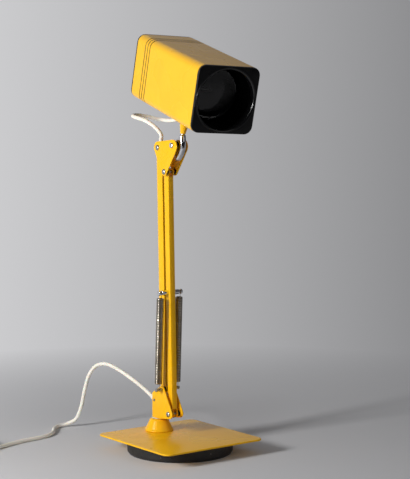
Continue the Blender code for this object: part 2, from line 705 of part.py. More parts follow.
def hook_pin(grip, shank, end_radius):
    """A pin across the cheeks whose ends carry a groove for each spring hook."""
    groove_low = SPRING_Y - HOOK_GROOVE_WIDTH / 2
    groove_high = SPRING_Y + HOOK_GROOVE_WIDTH / 2
    tip = groove_high + HOOK_PIN_END
    half = [(shank, 0), (shank, grip), (end_radius, grip), (end_radius, groove_low)]
    half += [(HOOK_GROOVE_RADIUS, groove_low), (HOOK_GROOVE_RADIUS, groove_high)]
    half += [(end_radius, groove_high), (end_radius, tip), (0, tip)]
    other = [(radius, -depth) for radius, depth in reversed(half)]
    return cross_turned(other + half[1:])


def add_bushes(name, frame, pivot):
    """Spacers that keep an arm in the middle between the cheeks."""
    low, high = ARM_HALF_WIDTH + SEAT_GAP, CHEEK_INNER - SEAT_GAP
    bore = PIVOT_RADIUS + PIN_CLEARANCE
    for side, label in ((1, "left"), (-1, "right")):
        ring = [(BUSH_RADIUS, low * side), (BUSH_RADIUS, high * side)]
        ring += [(bore, high * side), (bore, low * side)]
        place(f"{name}_{label}", cross_turned(ring, closed=True), "black_plastic", frame, pivot)


def make_clamp(frame, clamp, screw_at):
    """A block between the cheeks that grips the strain relief, square to its slope."""
    half = CLAMP_LENGTH / 2
    width = CHEEK_INNER - SEAT_GAP
    shape = block((-half, -width, -CLAMP_HEIGHT / 2), (half, width, CLAMP_HEIGHT / 2))
    body = place("cord_clamp", shape, "black_plastic", frame, clamp, BOOT_TURN)
    hole = BOOT_NECK_RADIUS + PIN_CLEARANCE
    cut(body, long_turned(rod_profile(-CLAMP_LENGTH, CLAMP_LENGTH, hole)), frame, clamp, BOOT_TURN)
    cheek_holes(body, frame, [screw_at], CLAMP_SCREW_RADIUS + PIN_CLEARANCE)
    grip = CHEEK_OUTER + SEAT_GAP
    head = (CLAMP_SCREW_HEAD_RADIUS, CLAMP_SCREW_HEAD_HEIGHT)
    screw = rivet_profile(grip, CLAMP_SCREW_RADIUS, *head)
    place("clamp_screw", cross_turned(screw), "zinc_steel", frame, screw_at)

    inner = BOOT_INNER_REACH
    outer = inner - BOOT_LENGTH
    collar = inner - BOOT_COLLAR_THICKNESS
    bore = CORD_RADIUS + PIN_CLEARANCE
    ring = [(bore, inner), (BOOT_COLLAR_RADIUS, inner), (BOOT_COLLAR_RADIUS, collar)]
    ring += [(BOOT_NECK_RADIUS, collar), (BOOT_NECK_RADIUS, -half)]
    ring += [(BOOT_END_RADIUS + PIN_CLEARANCE, outer)]
    ring += [(bore, outer)]
    boot = long_turned(ring, closed=True)
    place("strain_relief", boot, "ivory_pvc", frame, clamp, BOOT_TURN)


def boot_end():
    """Where the mains cord leaves the strain relief, and the direction it leaves in."""
    back = Vector((-math.cos(BOOT_SLOPE), 0, math.sin(BOOT_SLOPE)))
    return clamp_middle() + back * (BOOT_LENGTH - BOOT_INNER_REACH), back


def channel_arm(name, frame, depth):
    """A folded channel, open to the rear, with an ear round each pivot."""
    front, rear = ARM_FRONT, ARM_FRONT - depth
    ear, blend, corner = ARM_EAR_RADIUS, ARM_EAR_BLEND, ARM_END_ROUND
    arc = [math.radians(angle) for angle in range(-90, 31, 20)]
    lower = [(ear * math.cos(angle), ear * math.sin(angle)) for angle in arc]
    lower = [(0, -ARM_END_REACH)] + lower[1:] + [(front, blend)]
    upper = [(x, ARM_LENGTH - z) for x, z in reversed(lower)]
    top_corner = [(rear + corner, ARM_LENGTH + ARM_END_REACH), (rear, ARM_LENGTH + ARM_END_REACH - corner)]
    low_corner = [(rear, corner - ARM_END_REACH), (rear + corner, -ARM_END_REACH)]
    outline = lower + upper + top_corner + low_corner
    arm = place(name, side_plate(outline, -ARM_HALF_WIDTH, ARM_HALF_WIDTH), "yellow_enamel", frame)
    inner = ARM_HALF_WIDTH - ARM_WALL
    beyond = ARM_END_REACH + CUT_OVERRUN
    open_side, past_ear, web = rear - CUT_OVERRUN, ear + CUT_OVERRUN, front - ARM_WALL
    half = [(open_side, -beyond), (past_ear, -beyond), (past_ear, ARM_WEB_START), (web, ARM_WEB_START)]
    hollow = half + [(x, ARM_LENGTH - z) for x, z in reversed(half)]
    cut(arm, side_plate(hollow, -inner, inner), frame)
    pivots = (Vector(), Vector((0, 0, ARM_LENGTH)))
    cheek_holes(arm, frame, pivots, PIVOT_RADIUS + PIN_CLEARANCE)
    return arm


def make_arms():
    frame = empty("front_arm_axis", FRONT_FOOT, ARM_TURN)
    arm = channel_arm("front_arm", frame, FRONT_ARM_DEPTH)
    pin_at = Vector((-CROSS_PIN_BACK, 0, ARM_LENGTH * CROSS_PIN_SHARE))
    cheek_holes(arm, frame, [pin_at], CROSS_PIN_RADIUS + PIN_CLEARANCE)
    shoulder = ARM_HALF_WIDTH + SEAT_GAP
    pin = hook_pin(shoulder, CROSS_PIN_RADIUS, CROSS_PIN_SPOOL_RADIUS)
    place("spring_cross_pin", pin, "chrome", frame, pin_at)

    frame = empty("rear_arm_axis", REAR_FOOT, ARM_TURN)
    channel_arm("rear_arm", frame, REAR_ARM_DEPTH)
    ends = (-LEAD_END_REACH, ARM_LENGTH - LEAD_TOP_DROP)
    lead = [Vector((-LEAD_SET_BACK, 0, height)) for height in ends]
    place("arm_lead", cord_curve(lead, CORD_RADIUS, 2), "ivory_pvc", frame)


def make_top_bracket():
    """Two cheeks on the arms' top pivots, in the frame of the front arm's top pivot."""
    frame = empty("top_bracket_axis", FRONT_TOP)
    rear = REAR_TOP - FRONT_TOP
    tilt = TILT_AT - FRONT_TOP
    circles = [
        (0, 0, TOP_FRONT_ROUND),
        (tilt.x + TOP_NOSE_FORWARD, tilt.z - TOP_NOSE_DROP, TOP_NOSE_ROUND),
        (rear.x, rear.z, TOP_REAR_ROUND),
    ]
    outline = belt(circles)
    for side, label in ((1, "left"), (-1, "right")):
        shape = side_plate(outline, CHEEK_INNER * side, CHEEK_OUTER * side)
        cheek = place(f"top_cheek_{label}", shape, "yellow_enamel", frame)
        cheek_holes(cheek, frame, (Vector(), rear), PIVOT_RADIUS + PIN_CLEARANCE)
        cheek_holes(cheek, frame, [tilt], TILT_SCREW_RADIUS + PIN_CLEARANCE)
    grip = CHEEK_OUTER + SEAT_GAP
    for label, pivot in (("front", Vector()), ("rear", rear)):
        rivet = cross_turned(rivet_profile(grip, PIVOT_RADIUS, RIVET_HEAD_RADIUS, RIVET_HEAD_HEIGHT))
        place(f"top_{label}_rivet", rivet, "zinc_steel", frame, pivot)
        add_bushes(f"top_{label}_bush", frame, pivot)

    head = -grip - TILT_SCREW_HEAD_HEIGHT
    end = grip + TILT_NUT_HEIGHT + TILT_SCREW_RADIUS
    profile = [(0, head), (TILT_SCREW_HEAD_RADIUS, head), (TILT_SCREW_HEAD_RADIUS, -grip)]
    profile += [(TILT_SCREW_RADIUS, -grip), (TILT_SCREW_RADIUS, end), (0, end)]
    place("tilt_screw", cross_turned(profile), "chrome", frame, tilt)
    bore = TILT_SCREW_RADIUS + PIN_CLEARANCE
    nut_turn = Matrix.Rotation(math.radians(-90), 4, "X")
    hex_nut("tilt_nut", "chrome", TILT_NUT_RADIUS, grip, TILT_NUT_HEIGHT, bore, frame, tilt, nut_turn)
    low, high = HALF_KNUCKLE + SEAT_GAP, CHEEK_INNER - SEAT_GAP
    for side, label in ((1, "left"), (-1, "right")):
        ring = [(TILT_BUSH_RADIUS, low * side), (TILT_BUSH_RADIUS, high * side)]
        ring += [(bore, high * side), (bore, low * side)]
        place(f"tilt_bush_{label}", cross_turned(ring, closed=True), "black_plastic", frame, tilt)


def make_knuckle():
    """A folded knuckle between the cheeks with its web forward, and the hollow stem."""
    frame = empty("tilt_axis", TILT_AT, KNUCKLE_TURN)
    top = STEM_RISE - SEAT_GAP
    tail = (KNUCKLE_TAIL_FORWARD, -KNUCKLE_TAIL_DROP, KNUCKLE_TAIL_ROUND)
    bulge = (KNUCKLE_BULGE_FORWARD, 0, KNUCKLE_BULGE_ROUND)
    neck = (STEM_FORWARD, top - KNUCKLE_NECK_DROP, KNUCKLE_NECK_ROUND)
    pivot = (0, 0, KNUCKLE_PIVOT_ROUND)
    body = side_plate(belt([tail, bulge, neck, pivot]), -HALF_KNUCKLE, HALF_KNUCKLE)
    knuckle = place("tilt_knuckle", body, "chrome", frame)
    inner = HALF_KNUCKLE - KNUCKLE_WALL
    hollow = [(x, z, radius - KNUCKLE_WALL) for x, z, radius in (tail, bulge, pivot)]
    cut(knuckle, side_plate(belt(hollow), -inner, inner), frame)
    low = -KNUCKLE_TAIL_DROP - KNUCKLE_TAIL_ROUND - CUT_OVERRUN
    rear = -KNUCKLE_PIVOT_ROUND - CUT_OVERRUN
    mouth = block((rear, -inner, low), (KNUCKLE_TAIL_FORWARD, inner, KNUCKLE_ROOF))
    cut(knuckle, mouth, frame)
    cheek_holes(knuckle, frame, [Vector()], TILT_SCREW_RADIUS + PIN_CLEARANCE)
    stem_at = Vector((STEM_FORWARD, 0, 0))
    hole = STEM_RADIUS + PIN_CLEARANCE
    cut(knuckle, turned(rod_profile(0, STEM_RISE + CUT_OVERRUN, hole)), frame, stem_at)
    seat = KNUCKLE_ROOF - KNUCKLE_WALL
    cut(knuckle, turned(rod_profile(0, seat, STEM_HEAD_RADIUS + PIN_CLEARANCE)), frame, stem_at)

    head_top = seat - SEAT_GAP
    head_low = head_top - STEM_HEAD_HEIGHT
    end = STEM_RISE + SHELL_ABOVE_STEM + STEM_THREAD_REACH
    ring = [(STEM_BORE_RADIUS, head_low), (STEM_HEAD_RADIUS, head_low), (STEM_HEAD_RADIUS, head_top)]
    ring += [(STEM_RADIUS, head_top), (STEM_RADIUS, end), (STEM_BORE_RADIUS, end)]
    place("swivel_stem", turned(ring, closed=True), "zinc_steel", frame, stem_at)
    nut_low = STEM_RISE + SHELL_ABOVE_STEM + SHELL_WALL + STRIP_THICKNESS + 2 * SEAT_GAP
    hex_nut("stem_nut", "zinc_steel", STEM_NUT_RADIUS, nut_low, STEM_NUT_HEIGHT, hole, frame, stem_at)


def shell_ring(inset, x):
    half_y, half_z = SHELL_WIDTH / 2 - inset, SHELL_HEIGHT / 2 - inset
    outline = rounded_rectangle(half_y, half_z, SHELL_CORNER_RADIUS - inset)
    return [Vector((x, y, SHELL_MIDDLE_HEIGHT + z)) for y, z in outline]


def make_shell(frame):
    rings = [shell_ring(0, SHELL_REAR)]
    for index in range(GROOVE_COUNT):
        middle = SHELL_REAR + GROOVE_FIRST + index * GROOVE_PITCH
        half = GROOVE_WIDTH / 2
        rings.append(shell_ring(0, middle - half))
        rings.append(shell_ring(GROOVE_DEPTH, middle - half / 2))
        rings.append(shell_ring(GROOVE_DEPTH, middle + half / 2))
        rings.append(shell_ring(0, middle + half))
    rings.append(shell_ring(0, SHELL_FRONT))
    rings += [shell_ring(SHELL_WALL, SHELL_FRONT), shell_ring(SHELL_WALL, SHELL_REAR)]
    shell = place("head_shell", skin(rings, closed=True), "yellow_enamel", frame)
    low, high = SHELL_ABOVE_STEM - CUT_OVERRUN, SHELL_ABOVE_STEM + SHELL_WALL + CUT_OVERRUN
    cut(shell, turned(rod_profile(low, high, STEM_RADIUS + PIN_CLEARANCE)), frame)
    grommet_at = Vector((-GROMMET_BEHIND_STEM, 0, 0))
    cut(shell, turned(rod_profile(low, high, GROMMET_RADIUS + PIN_CLEARANCE)), frame, grommet_at)


def square_to_round(share, radius, x):
    """A ring between the shade's rounded square (share 1) and a circle (share 0)."""
    half_y, half_z = SHELL_WIDTH / 2, SHELL_HEIGHT / 2
    points = []
    for step in range(BEZEL_STEPS):
        angle = 2 * math.pi * (step + 1 / 2) / BEZEL_STEPS
        across, up = math.cos(angle), math.sin(angle)
        square = square_reach(across, up, half_y, half_z, SHELL_CORNER_RADIUS)
        reach = radius + share * square
        points.append(Vector((x, reach * across, SHELL_MIDDLE_HEIGHT + reach * up)))
    return points


def square_reach(across, up, half_y, half_z, corner):
    """Distance from the middle to a rounded rectangle along a direction."""
    flat = min(half_y / max(abs(across), 1e-9), half_z / max(abs(up), 1e-9))
    inner_y, inner_z = half_y - corner, half_z - corner
    if flat * abs(across) <= inner_y or flat * abs(up) <= inner_z:
        return flat
    along = abs(across) * inner_y + abs(up) * inner_z
    return along + math.sqrt(along**2 - inner_y**2 - inner_z**2 + corner**2)


def make_bezel(frame):
    """Black moulding over the shade's mouth: square outside, round and lipped inside."""
    back = SHELL_FRONT + SEAT_GAP
    front = back + BEZEL_THICKNESS
    edge = BEZEL_EDGE_ROUND
    rim = SHELL_WALL + SEAT_GAP
    rim_back = SHELL_FRONT - BEZEL_RIM_DEPTH
    mouth, lip = BEZEL_APERTURE_RADIUS, BEZEL_LIP_WIDTH
    proud = front + BEZEL_LIP_HEIGHT
    rings = [
        square_to_round(1, 0, back),
        square_to_round(1, 0, front - edge),
        square_to_round(1, -edge, front),
        square_to_round(0, mouth + lip, front),
        square_to_round(0, mouth + lip * 3 / 4, proud - BEZEL_LIP_HEIGHT / 4),
        square_to_round(0, mouth + lip / 4, proud),
        square_to_round(0, mouth, proud - BEZEL_LIP_HEIGHT / 2),
        square_to_round(0, mouth, back),
        square_to_round(1, -rim - BEZEL_RIM_WALL, back),
        square_to_round(1, -rim - BEZEL_RIM_WALL, rim_back),
        square_to_round(1, -rim, rim_back),
        square_to_round(1, -rim, back),
    ]
    place("front_bezel", skin(rings, closed=True), "black_plastic", frame)


def make_rear_cover(frame):
    front = SHELL_REAR - SEAT_GAP
    back = front - COVER_THICKNESS
    edge = COVER_EDGE_ROUND
    rim = SHELL_WALL + SEAT_GAP
    inside = rim + COVER_RIM_WALL
    rings = [
        shell_ring(edge, back),
        shell_ring(0, back + edge),
        shell_ring(0, front),
        shell_ring(rim, front),
        shell_ring(rim, front + COVER_RIM_DEPTH),
        shell_ring(inside, front + COVER_RIM_DEPTH),
        shell_ring(inside, front),
    ]
    cover = place("rear_cover", skin(rings), "black_plastic", frame)
    reach = COVER_THICKNESS + CUT_OVERRUN
    end = (VENT_LENGTH - VENT_WIDTH) / 2
    vent = belt([(-end, 0, VENT_WIDTH / 2), (end, 0, VENT_WIDTH / 2)])
    for index in range(VENT_COUNT):
        height = SHELL_MIDDLE_HEIGHT + VENT_FROM_MIDDLE + index * VENT_PITCH
        slot = [[Vector((x, y, height + z)) for y, z in vent] for x in (back - reach, front + reach / 2)]
        cut(cover, skin(slot), frame)
    switch_at = Vector((0, 0, SHELL_MIDDLE_HEIGHT - SWITCH_DROP))
    hole = long_turned(rod_profile(back - reach, front + reach / 2, SWITCH_RADIUS + PIN_CLEARANCE))
    cut(cover, hole, frame, switch_at)
    inner = front + SEAT_GAP
    body_end = inner + SWITCH_BODY_DEPTH
    floor = body_end - SWITCH_BODY_WALL
    bore = SWITCH_COLLAR_RADIUS + PIN_CLEARANCE
    profile = [(0, floor), (bore, floor), (bore, front - COVER_THICKNESS / 2)]
    profile += [(SWITCH_BODY_RADIUS, front - COVER_THICKNESS / 2)]
    profile += [(SWITCH_BODY_RADIUS, body_end), (0, body_end)]
    join(cover, long_turned(profile), frame, switch_at)
    make_switch(switch_at, front)


def make_switch(switch_at, cover_front):
    """A push button through the cover, its collar trapped in the cover's moulded cup."""
    inner = cover_front + SEAT_GAP
    outside = cover_front - COVER_THICKNESS - SWITCH_OUTSIDE
    collar = inner + SEAT_GAP
    collar_end = collar + SWITCH_COLLAR_THICKNESS
    rim = SWITCH_RADIUS / 6
    profile = [(0, outside), (SWITCH_RADIUS - rim, outside), (SWITCH_RADIUS, outside + rim)]
    profile += [(SWITCH_RADIUS, collar), (SWITCH_COLLAR_RADIUS, collar), (SWITCH_COLLAR_RADIUS, collar_end)]
    profile += [(SWITCH_RADIUS, collar_end), (SWITCH_RADIUS, collar_end + SWITCH_INSIDE)]
    profile += [(0, collar_end + SWITCH_INSIDE)]
    press = empty("switch_axis", HEAD_AT, HEAD_TURN)
    place("switch_button", long_turned(profile), "black_plastic", press, switch_at)


def holder_back():
    """The lamp holder's rear end, measured back from the bulb's cap."""
    cap_back = SHELL_FRONT - BULB_FACE_BACK - BULB_GLASS_LENGTH - SEAT_GAP - BULB_CAP_LENGTH
    return cap_back + HOLDER_OVER_CAP + HOLDER_WALL - HOLDER_LENGTH


def holder_strip_x():
    return holder_back() + HOLDER_LENGTH * STRIP_HOLDER_SHARE


def make_lamp(frame):
    """Reflector bulb, its cap, the holder round the cap, and the strip that carries it."""
    axis = Vector((0, 0, SHELL_MIDDLE_HEIGHT))
    face = SHELL_FRONT - BULB_FACE_BACK
    profile = [
        (0, face + BULB_DOME_RISE),
        (BULB_RADIUS / 2, face + BULB_DOME_RISE * 3 / 4),
        (BULB_RADIUS * 7 / 8, face),
        (BULB_RADIUS, face - BULB_RIM_DEPTH / 2),
        (BULB_RADIUS * 31 / 32, face - BULB_RIM_DEPTH),
        (BULB_RADIUS * 3 / 4, face - BULB_BOWL_DEPTH * 5 / 8),
        (BULB_NECK_RADIUS * 9 / 8, face - BULB_BOWL_DEPTH - BULB_RIM_DEPTH),
        (BULB_NECK_RADIUS, face - BULB_NECK_DEPTH),
        (BULB_CAP_RADIUS, face - BULB_GLASS_LENGTH + BULB_RIM_DEPTH),
        (BULB_CAP_RADIUS, face - BULB_GLASS_LENGTH),
        (0, face - BULB_GLASS_LENGTH),
    ]
    place("bulb_glass", long_turned(profile, FINE_STEPS), "frosted_glass", frame, axis)
    cap_front = face - BULB_GLASS_LENGTH - SEAT_GAP
    cap_back = cap_front - BULB_CAP_LENGTH
    tip = BULB_CAP_RADIUS / 3
    profile = [(0, cap_front), (BULB_CAP_RADIUS, cap_front), (BULB_CAP_RADIUS, cap_back + tip)]
    profile += [(tip, cap_back), (0, cap_back)]
    place("bulb_cap", long_turned(profile), "brass", frame, axis)

    back = holder_back()
    front = back + HOLDER_LENGTH
    bore = BULB_CAP_RADIUS + PIN_CLEARANCE
    floor = cap_back - SEAT_GAP
    corner = HOLDER_END_ROUND
    profile = [(0, floor), (bore, floor), (bore, front), (HOLDER_RADIUS, front)]
    profile += [(HOLDER_RADIUS, back + corner), (HOLDER_RADIUS - corner, back), (0, back)]
    place("lamp_holder", long_turned(profile), "porcelain", frame, axis)

    floor_level = SHELL_ABOVE_STEM + SHELL_WALL + SEAT_GAP
    foot_top = floor_level + STRIP_THICKNESS
    half = STRIP_WIDTH / 2
    arm_x = holder_strip_x()
    foot_front = STRIP_WIDTH / 3
    corner = (arm_x + STRIP_THICKNESS, foot_top)
    outline = [(arm_x, floor_level), (foot_front, floor_level), (foot_front, foot_top), corner]
    post_top = SHELL_MIDDLE_HEIGHT - HOLDER_RADIUS / 2
    outline += [(arm_x + STRIP_THICKNESS, post_top), (arm_x, post_top)]
    strip = place("holder_bracket", side_plate(outline, -half, half), "zinc_steel", frame)
    low, high = SHELL_ABOVE_STEM, foot_top + CUT_OVERRUN
    cut(strip, turned(rod_profile(low, high, STEM_RADIUS + PIN_CLEARANCE)), frame)
    cord_hole = turned(rod_profile(low, high, GROMMET_FLANGE_RADIUS + PIN_CLEARANCE))
    cut(strip, cord_hole, frame, Vector((-GROMMET_BEHIND_STEM, 0, 0)))
    window_at = Vector((arm_x, 0, STRIP_WINDOW_HEIGHT))
    cut(strip, long_turned(rod_profile(-CUT_OVERRUN, CUT_OVERRUN, GROMMET_RADIUS)), frame, window_at)
    collar = rod_profile(
        arm_x - STRIP_COLLAR_RIDGE,
        arm_x + STRIP_THICKNESS + STRIP_COLLAR_RIDGE,
        HOLDER_RADIUS + STRIP_COLLAR_WIDTH,
    )
    join(strip, long_turned(collar, FINE_STEPS), frame, axis)
    seat = HOLDER_RADIUS + SEAT_GAP
    hole = long_turned(rod_profile(arm_x - CUT_OVERRUN, arm_x + CUT_OVERRUN, seat), FINE_STEPS)
    cut(strip, hole, frame, axis)


def make_head():
    frame = empty("head_axis", HEAD_AT, HEAD_TURN)
    make_shell(frame)
    make_bezel(frame)
    make_rear_cover(frame)
    make_lamp(frame)

    top = SHELL_ABOVE_STEM - SEAT_GAP
    bore = STEM_RADIUS + PIN_CLEARANCE
    profile = [(bore, 0), (FERRULE_FOOT_RADIUS, 0), (FERRULE_WAIST_RADIUS, FERRULE_WAIST_HEIGHT)]
    profile += [(FERRULE_TOP_RADIUS, top), (bore, top)]
    place("head_ferrule", turned(profile, closed=True), "yellow_enamel", frame)

    grommet_at = Vector((-GROMMET_BEHIND_STEM, 0, 0))
    bore = CORD_RADIUS + PIN_CLEARANCE
    low = SHELL_ABOVE_STEM - GROMMET_DROP
    under = SHELL_ABOVE_STEM - SEAT_GAP
    rise = SHELL_ABOVE_STEM + SHELL_WALL + GROMMET_RISE
    profile = [(bore, low), (GROMMET_RADIUS - bore / 4, low)]
    profile += [(GROMMET_FLANGE_RADIUS, under - GROMMET_FLANGE_THICKNESS)]
    profile += [(GROMMET_FLANGE_RADIUS, under), (GROMMET_RADIUS, under)]
    profile += [(GROMMET_RADIUS, rise), (bore, rise)]
    place("cord_grommet", turned(profile, closed=True), "black_plastic", frame, grommet_at)

    end = Vector((holder_back() - SEAT_GAP, 0, SHELL_MIDDLE_HEIGHT))
    start = grommet_at + Vector((0, 0, low))
    through = Vector((0, 0, rise - low))
    window = Vector((holder_strip_x(), 0, STRIP_WINDOW_HEIGHT))
    away = Vector((-CORD_DIAMETER, 0, 0))
    route = [start, start + through / 2, start + through, start + through + Vector((0, 0, CORD_RADIUS))]
    route += [window, window.lerp(end, 1 / 2) + 2 * away, end + 2 * away, end + away, end]
    lead = square_ends(resampled(route, CORD_RADIUS * 3 / 2), through, -away)
    place("holder_lead", cord_curve(lead, CORD_RADIUS, 1), "ivory_pvc", frame)


def spring_points():
    """Wire of one spring from its lower eye to the straight end below the upper hook."""
    coil_radius = SPRING_OUTER_RADIUS - SPRING_WIRE_RADIUS
    eye = HOOK_GROOVE_RADIUS + SPRING_WIRE_RADIUS + PIN_CLEARANCE
    points = []
    for step in range(SPRING_EYE_STEPS + 1):
        angle = math.radians(200) + math.radians(250) * step / SPRING_EYE_STEPS
        points.append(Vector((eye * math.sin(angle), 0, eye * math.cos(angle))))
    low = SPRING_LOWER_LEAD
    length = SPRING_LINE.length - SPRING_LOWER_LEAD - SPRING_UPPER_LEAD
    total = SPRING_CURLS * SPRING_POINTS_PER_CURL
    ends = SPRING_POINTS_PER_CURL
    for step in range(total + 1):
        angle = 2 * math.pi * step / SPRING_POINTS_PER_CURL
        opening = min(1, step / ends, (total - step) / ends)
        radius = coil_radius * math.sin(math.pi / 2 * (1 / 4 + opening * 3 / 4))
        height = low + length * step / total
        points.append(Vector((radius * math.cos(angle), radius * math.sin(angle), height)))
    last = points[-1]
    end = SPRING_LINE.length - hook_start()
    points.append(Vector((last.x, last.y, last.z + SPRING_WIRE_RADIUS)))
    points.append(Vector((last.x, last.y, end)))
    return points


def hook_start():
    """How far below the cross-pin the upper hook begins."""
    return SPRING_UPPER_LEAD - 2 * SPRING_WIRE_RADIUS - SEAT_GAP


def hook_points():
    """Wire of the upper hook, from the spring's straight end round the cross-pin."""
    bottom = -hook_start() + SEAT_GAP
    shank = spring_points()[-1]
    eye = HOOK_GROOVE_RADIUS + SPRING_WIRE_RADIUS + PIN_CLEARANCE
    points = [Vector((shank.x, shank.y, bottom)), Vector((shank.x, shank.y, bottom + SPRING_WIRE_RADIUS))]
    for step in range(SPRING_EYE_STEPS + 1):
        angle = math.radians(110) - math.radians(250) * step / SPRING_EYE_STEPS
        points.append(Vector((eye * math.sin(angle), 0, eye * math.cos(angle))))
    return points


def least_gap(points, radius, apart):
    """Least clear distance between parts of one tube at least so many points apart."""
    found = math.inf
    for index, here in enumerate(points):
        for there in points[index + apart:]:
            found = min(found, (there - here).length)
    return found - 2 * radius


def make_springs():
    frame = empty("spring_axis", REAR_FOOT, SPRING_TURN)
    hooks = empty("spring_hook_axis", CROSS_PIN_AT, SPRING_TURN)
    wire = spring_points()
    gap = least_gap(wire[SPRING_EYE_STEPS + 1:], SPRING_WIRE_RADIUS, SPRING_POINTS_PER_CURL // 2)
    print(f"spring's least gap to itself: {gap * 1000:.2f} mm")
    for side, label in ((1, "left"), (-1, "right")):
        at = Vector((0, SPRING_Y * side, 0))
        coil = cord_curve(wire, SPRING_WIRE_RADIUS, 1)
        place(f"spring_{label}", coil, "spring_steel", frame, at)
        hook = cord_curve(hook_points(), SPRING_WIRE_RADIUS, 1)
        place(f"spring_hook_{label}", hook, "spring_steel", hooks, at)


def crossing_heading():
    return (Vector(MAINS_CROSSING) - Vector(MAINS_ROUTE[-1])).normalized()


def coil_entry():
    """Where the first turn starts, lifted clear of the floor by the tie under the coil."""
    entry = Vector(MAINS_CROSSING) + crossing_heading() * MAINS_RUN_PAST_CROSSING
    entry.z = CORD_RADIUS + COIL_LIFT
    return entry


def coil_frame():
    """Middle of the coil and the angle of its first turn, met at a tangent, clockwise."""
    heading = crossing_heading()
    angle = math.atan2(heading.x, -heading.y)
    outward = Vector((math.cos(angle), math.sin(angle), 0))
    return coil_entry() - outward * coil_outer_radius(), angle


def coil_outer_radius():
    return COIL_MEAN_RADIUS + STRAND_PITCH * COIL_TURNS / 4


def coil_points():
    """Two layers: a spiral in on the floor, a climb, and a spiral out on top."""
    middle, start = coil_frame()
    low = CORD_RADIUS + COIL_LIFT
    total = round(COIL_TURNS * COIL_POINTS_PER_TURN)
    half_way = COIL_TURNS / 2
    points = []
    for step in range(total + 1):
        turn = COIL_TURNS * step / total
        radius = coil_outer_radius() - STRAND_PITCH * (half_way - abs(turn - half_way))
        rise = min(1, max(0, (turn - half_way) / CLIMB_SHARE + 1 / 2))
        rise = rise * rise * (3 - 2 * rise)
        angle = start - 2 * math.pi * turn
        height = low + STRAND_PITCH * rise
        points.append(middle + Vector((radius * math.cos(angle), radius * math.sin(angle), 0)))
        points[-1].z = height
    return points


def coil_tail():
    """The end leaves at a tangent, level over the lower layer, then dips to the plug."""
    points = coil_points()
    heading = points[-1] - points[-2]
    heading.z = 0
    heading.normalize()
    plug_height = PLUG_THICKNESS / 2 + CORD_FLOOR_GAP
    drop = points[-1].z - plug_height
    tail = []
    pieces = 6
    for index in range(1, pieces + 1):
        along = COIL_TAIL * index / pieces
        share = max(0, (along - COIL_TAIL_LEVEL) / (COIL_TAIL - CORD_DIAMETER - COIL_TAIL_LEVEL))
        share = min(1, share)
        point = points[-1] + heading * along
        point.z -= drop * share * share * (3 - 2 * share)
        tail.append(point)
    return tail, heading


def make_cords():
    start, back = boot_end()
    route = [start + back * SEAT_GAP, start + back * CORD_DIAMETER] + [Vector(p) for p in MAINS_ROUTE]
    heading = crossing_heading()
    entry = coil_entry()
    route += [Vector(MAINS_CROSSING), entry - heading * COIL_RUN_IN - heading * SEAT_GAP]
    mains = square_ends(resampled(route, CORD_POINT_SPACING), back, heading)
    place("mains_cord", cord_curve(mains, CORD_RADIUS, 2), "ivory_pvc")

    loops = coil_points()
    tail, tail_heading = coil_tail()
    gap = least_gap(loops, CORD_RADIUS, COIL_POINTS_PER_TURN // 2)
    print(f"coil's least gap to itself: {gap * 1000:.2f} mm")
    wound = [entry - heading * COIL_RUN_IN] + loops + tail
    place("mains_cord_coil", cord_curve(wound, CORD_RADIUS, 1), "ivory_pvc")
    length = sum((b - a).length for a, b in zip(mains, mains[1:]))
    length += sum((b - a).length for a, b in zip(wound, wound[1:]))
    print(f"mains cord length: {length:.3f} m")
    make_tie()
    make_plug(tail[-1] + tail_heading * SEAT_GAP, tail_heading)

    run = resampled(bracket_lead_route(), CORD_RADIUS * 3 / 2)
    inside = square_ends(run, ARM_TURN @ Vector((0, 0, -1)), back)
    place("bracket_lead", cord_curve(inside, CORD_RADIUS, 2), "ivory_pvc")

    grommet = Vector((-GROMMET_BEHIND_STEM, 0, SHELL_ABOVE_STEM - GROMMET_DROP - SEAT_GAP))
    leave = HEAD_AT + HEAD_TURN @ grommet
    arm_top = Vector((-LEAD_SET_BACK, 0, ARM_LENGTH + LEAD_END_REACH + SEAT_GAP))
    arrive = REAR_FOOT + ARM_TURN @ arm_top
    drop = HEAD_TURN @ Vector((0, 0, -CORD_RADIUS))
    rise = ARM_TURN @ Vector((0, 0, CORD_DIAMETER))
    whole = [leave, leave + drop] + [Vector(p) for p in HEAD_ROUTE_OUT] + [Vector(HEAD_ROUTE_TURN)]
    whole += [Vector(p) for p in HEAD_ROUTE_BACK] + [arrive + rise, arrive]
    run = square_ends(resampled(whole, CORD_RADIUS * 3 / 2), drop, -rise)
    split = len(run) - 1
    while run[split].x > arrive.x - HEAD_SPLIT_BEHIND:
        split -= 1
    along = (run[split + 1] - run[split - 1]).normalized()
    cut_at = run[split]
    first = run[:split] + [cut_at - along * CORD_RADIUS / 2, cut_at]
    cut_at = cut_at + along * SEAT_GAP
    second = [cut_at, cut_at + along * CORD_RADIUS / 2] + run[split + 1:]
    place("head_cord", cord_curve(first, CORD_RADIUS, 2), "ivory_pvc")
    place("head_cord_return", cord_curve(second, CORD_RADIUS, 2), "ivory_pvc")
    length = sum((b - a).length for a, b in zip(run, run[1:]))
    print(f"head cord length: {length:.3f} m")


def bracket_lead_route():
    """From the arm's lead down between the cheeks and back into the strain relief."""
    arm_low = Vector((-LEAD_SET_BACK, 0, -LEAD_END_REACH - LEAD_SWING_GAP))
    top = REAR_FOOT + ARM_TURN @ arm_low
    back = Vector((-math.cos(BOOT_SLOPE), 0, math.sin(BOOT_SLOPE)))
    boot_start = clamp_middle() - back * (BOOT_INNER_REACH + SEAT_GAP)
    down = Vector((0, 0, -CORD_DIAMETER))
    low = Vector((boot_start.x + 2 * CORD_DIAMETER, 0, boot_start.z - CORD_RADIUS / 2))
    middle = Vector((top.x, 0, (top.z + low.z) / 2))
    return [top, top + down, middle, low, boot_start - back * CORD_DIAMETER, boot_start]


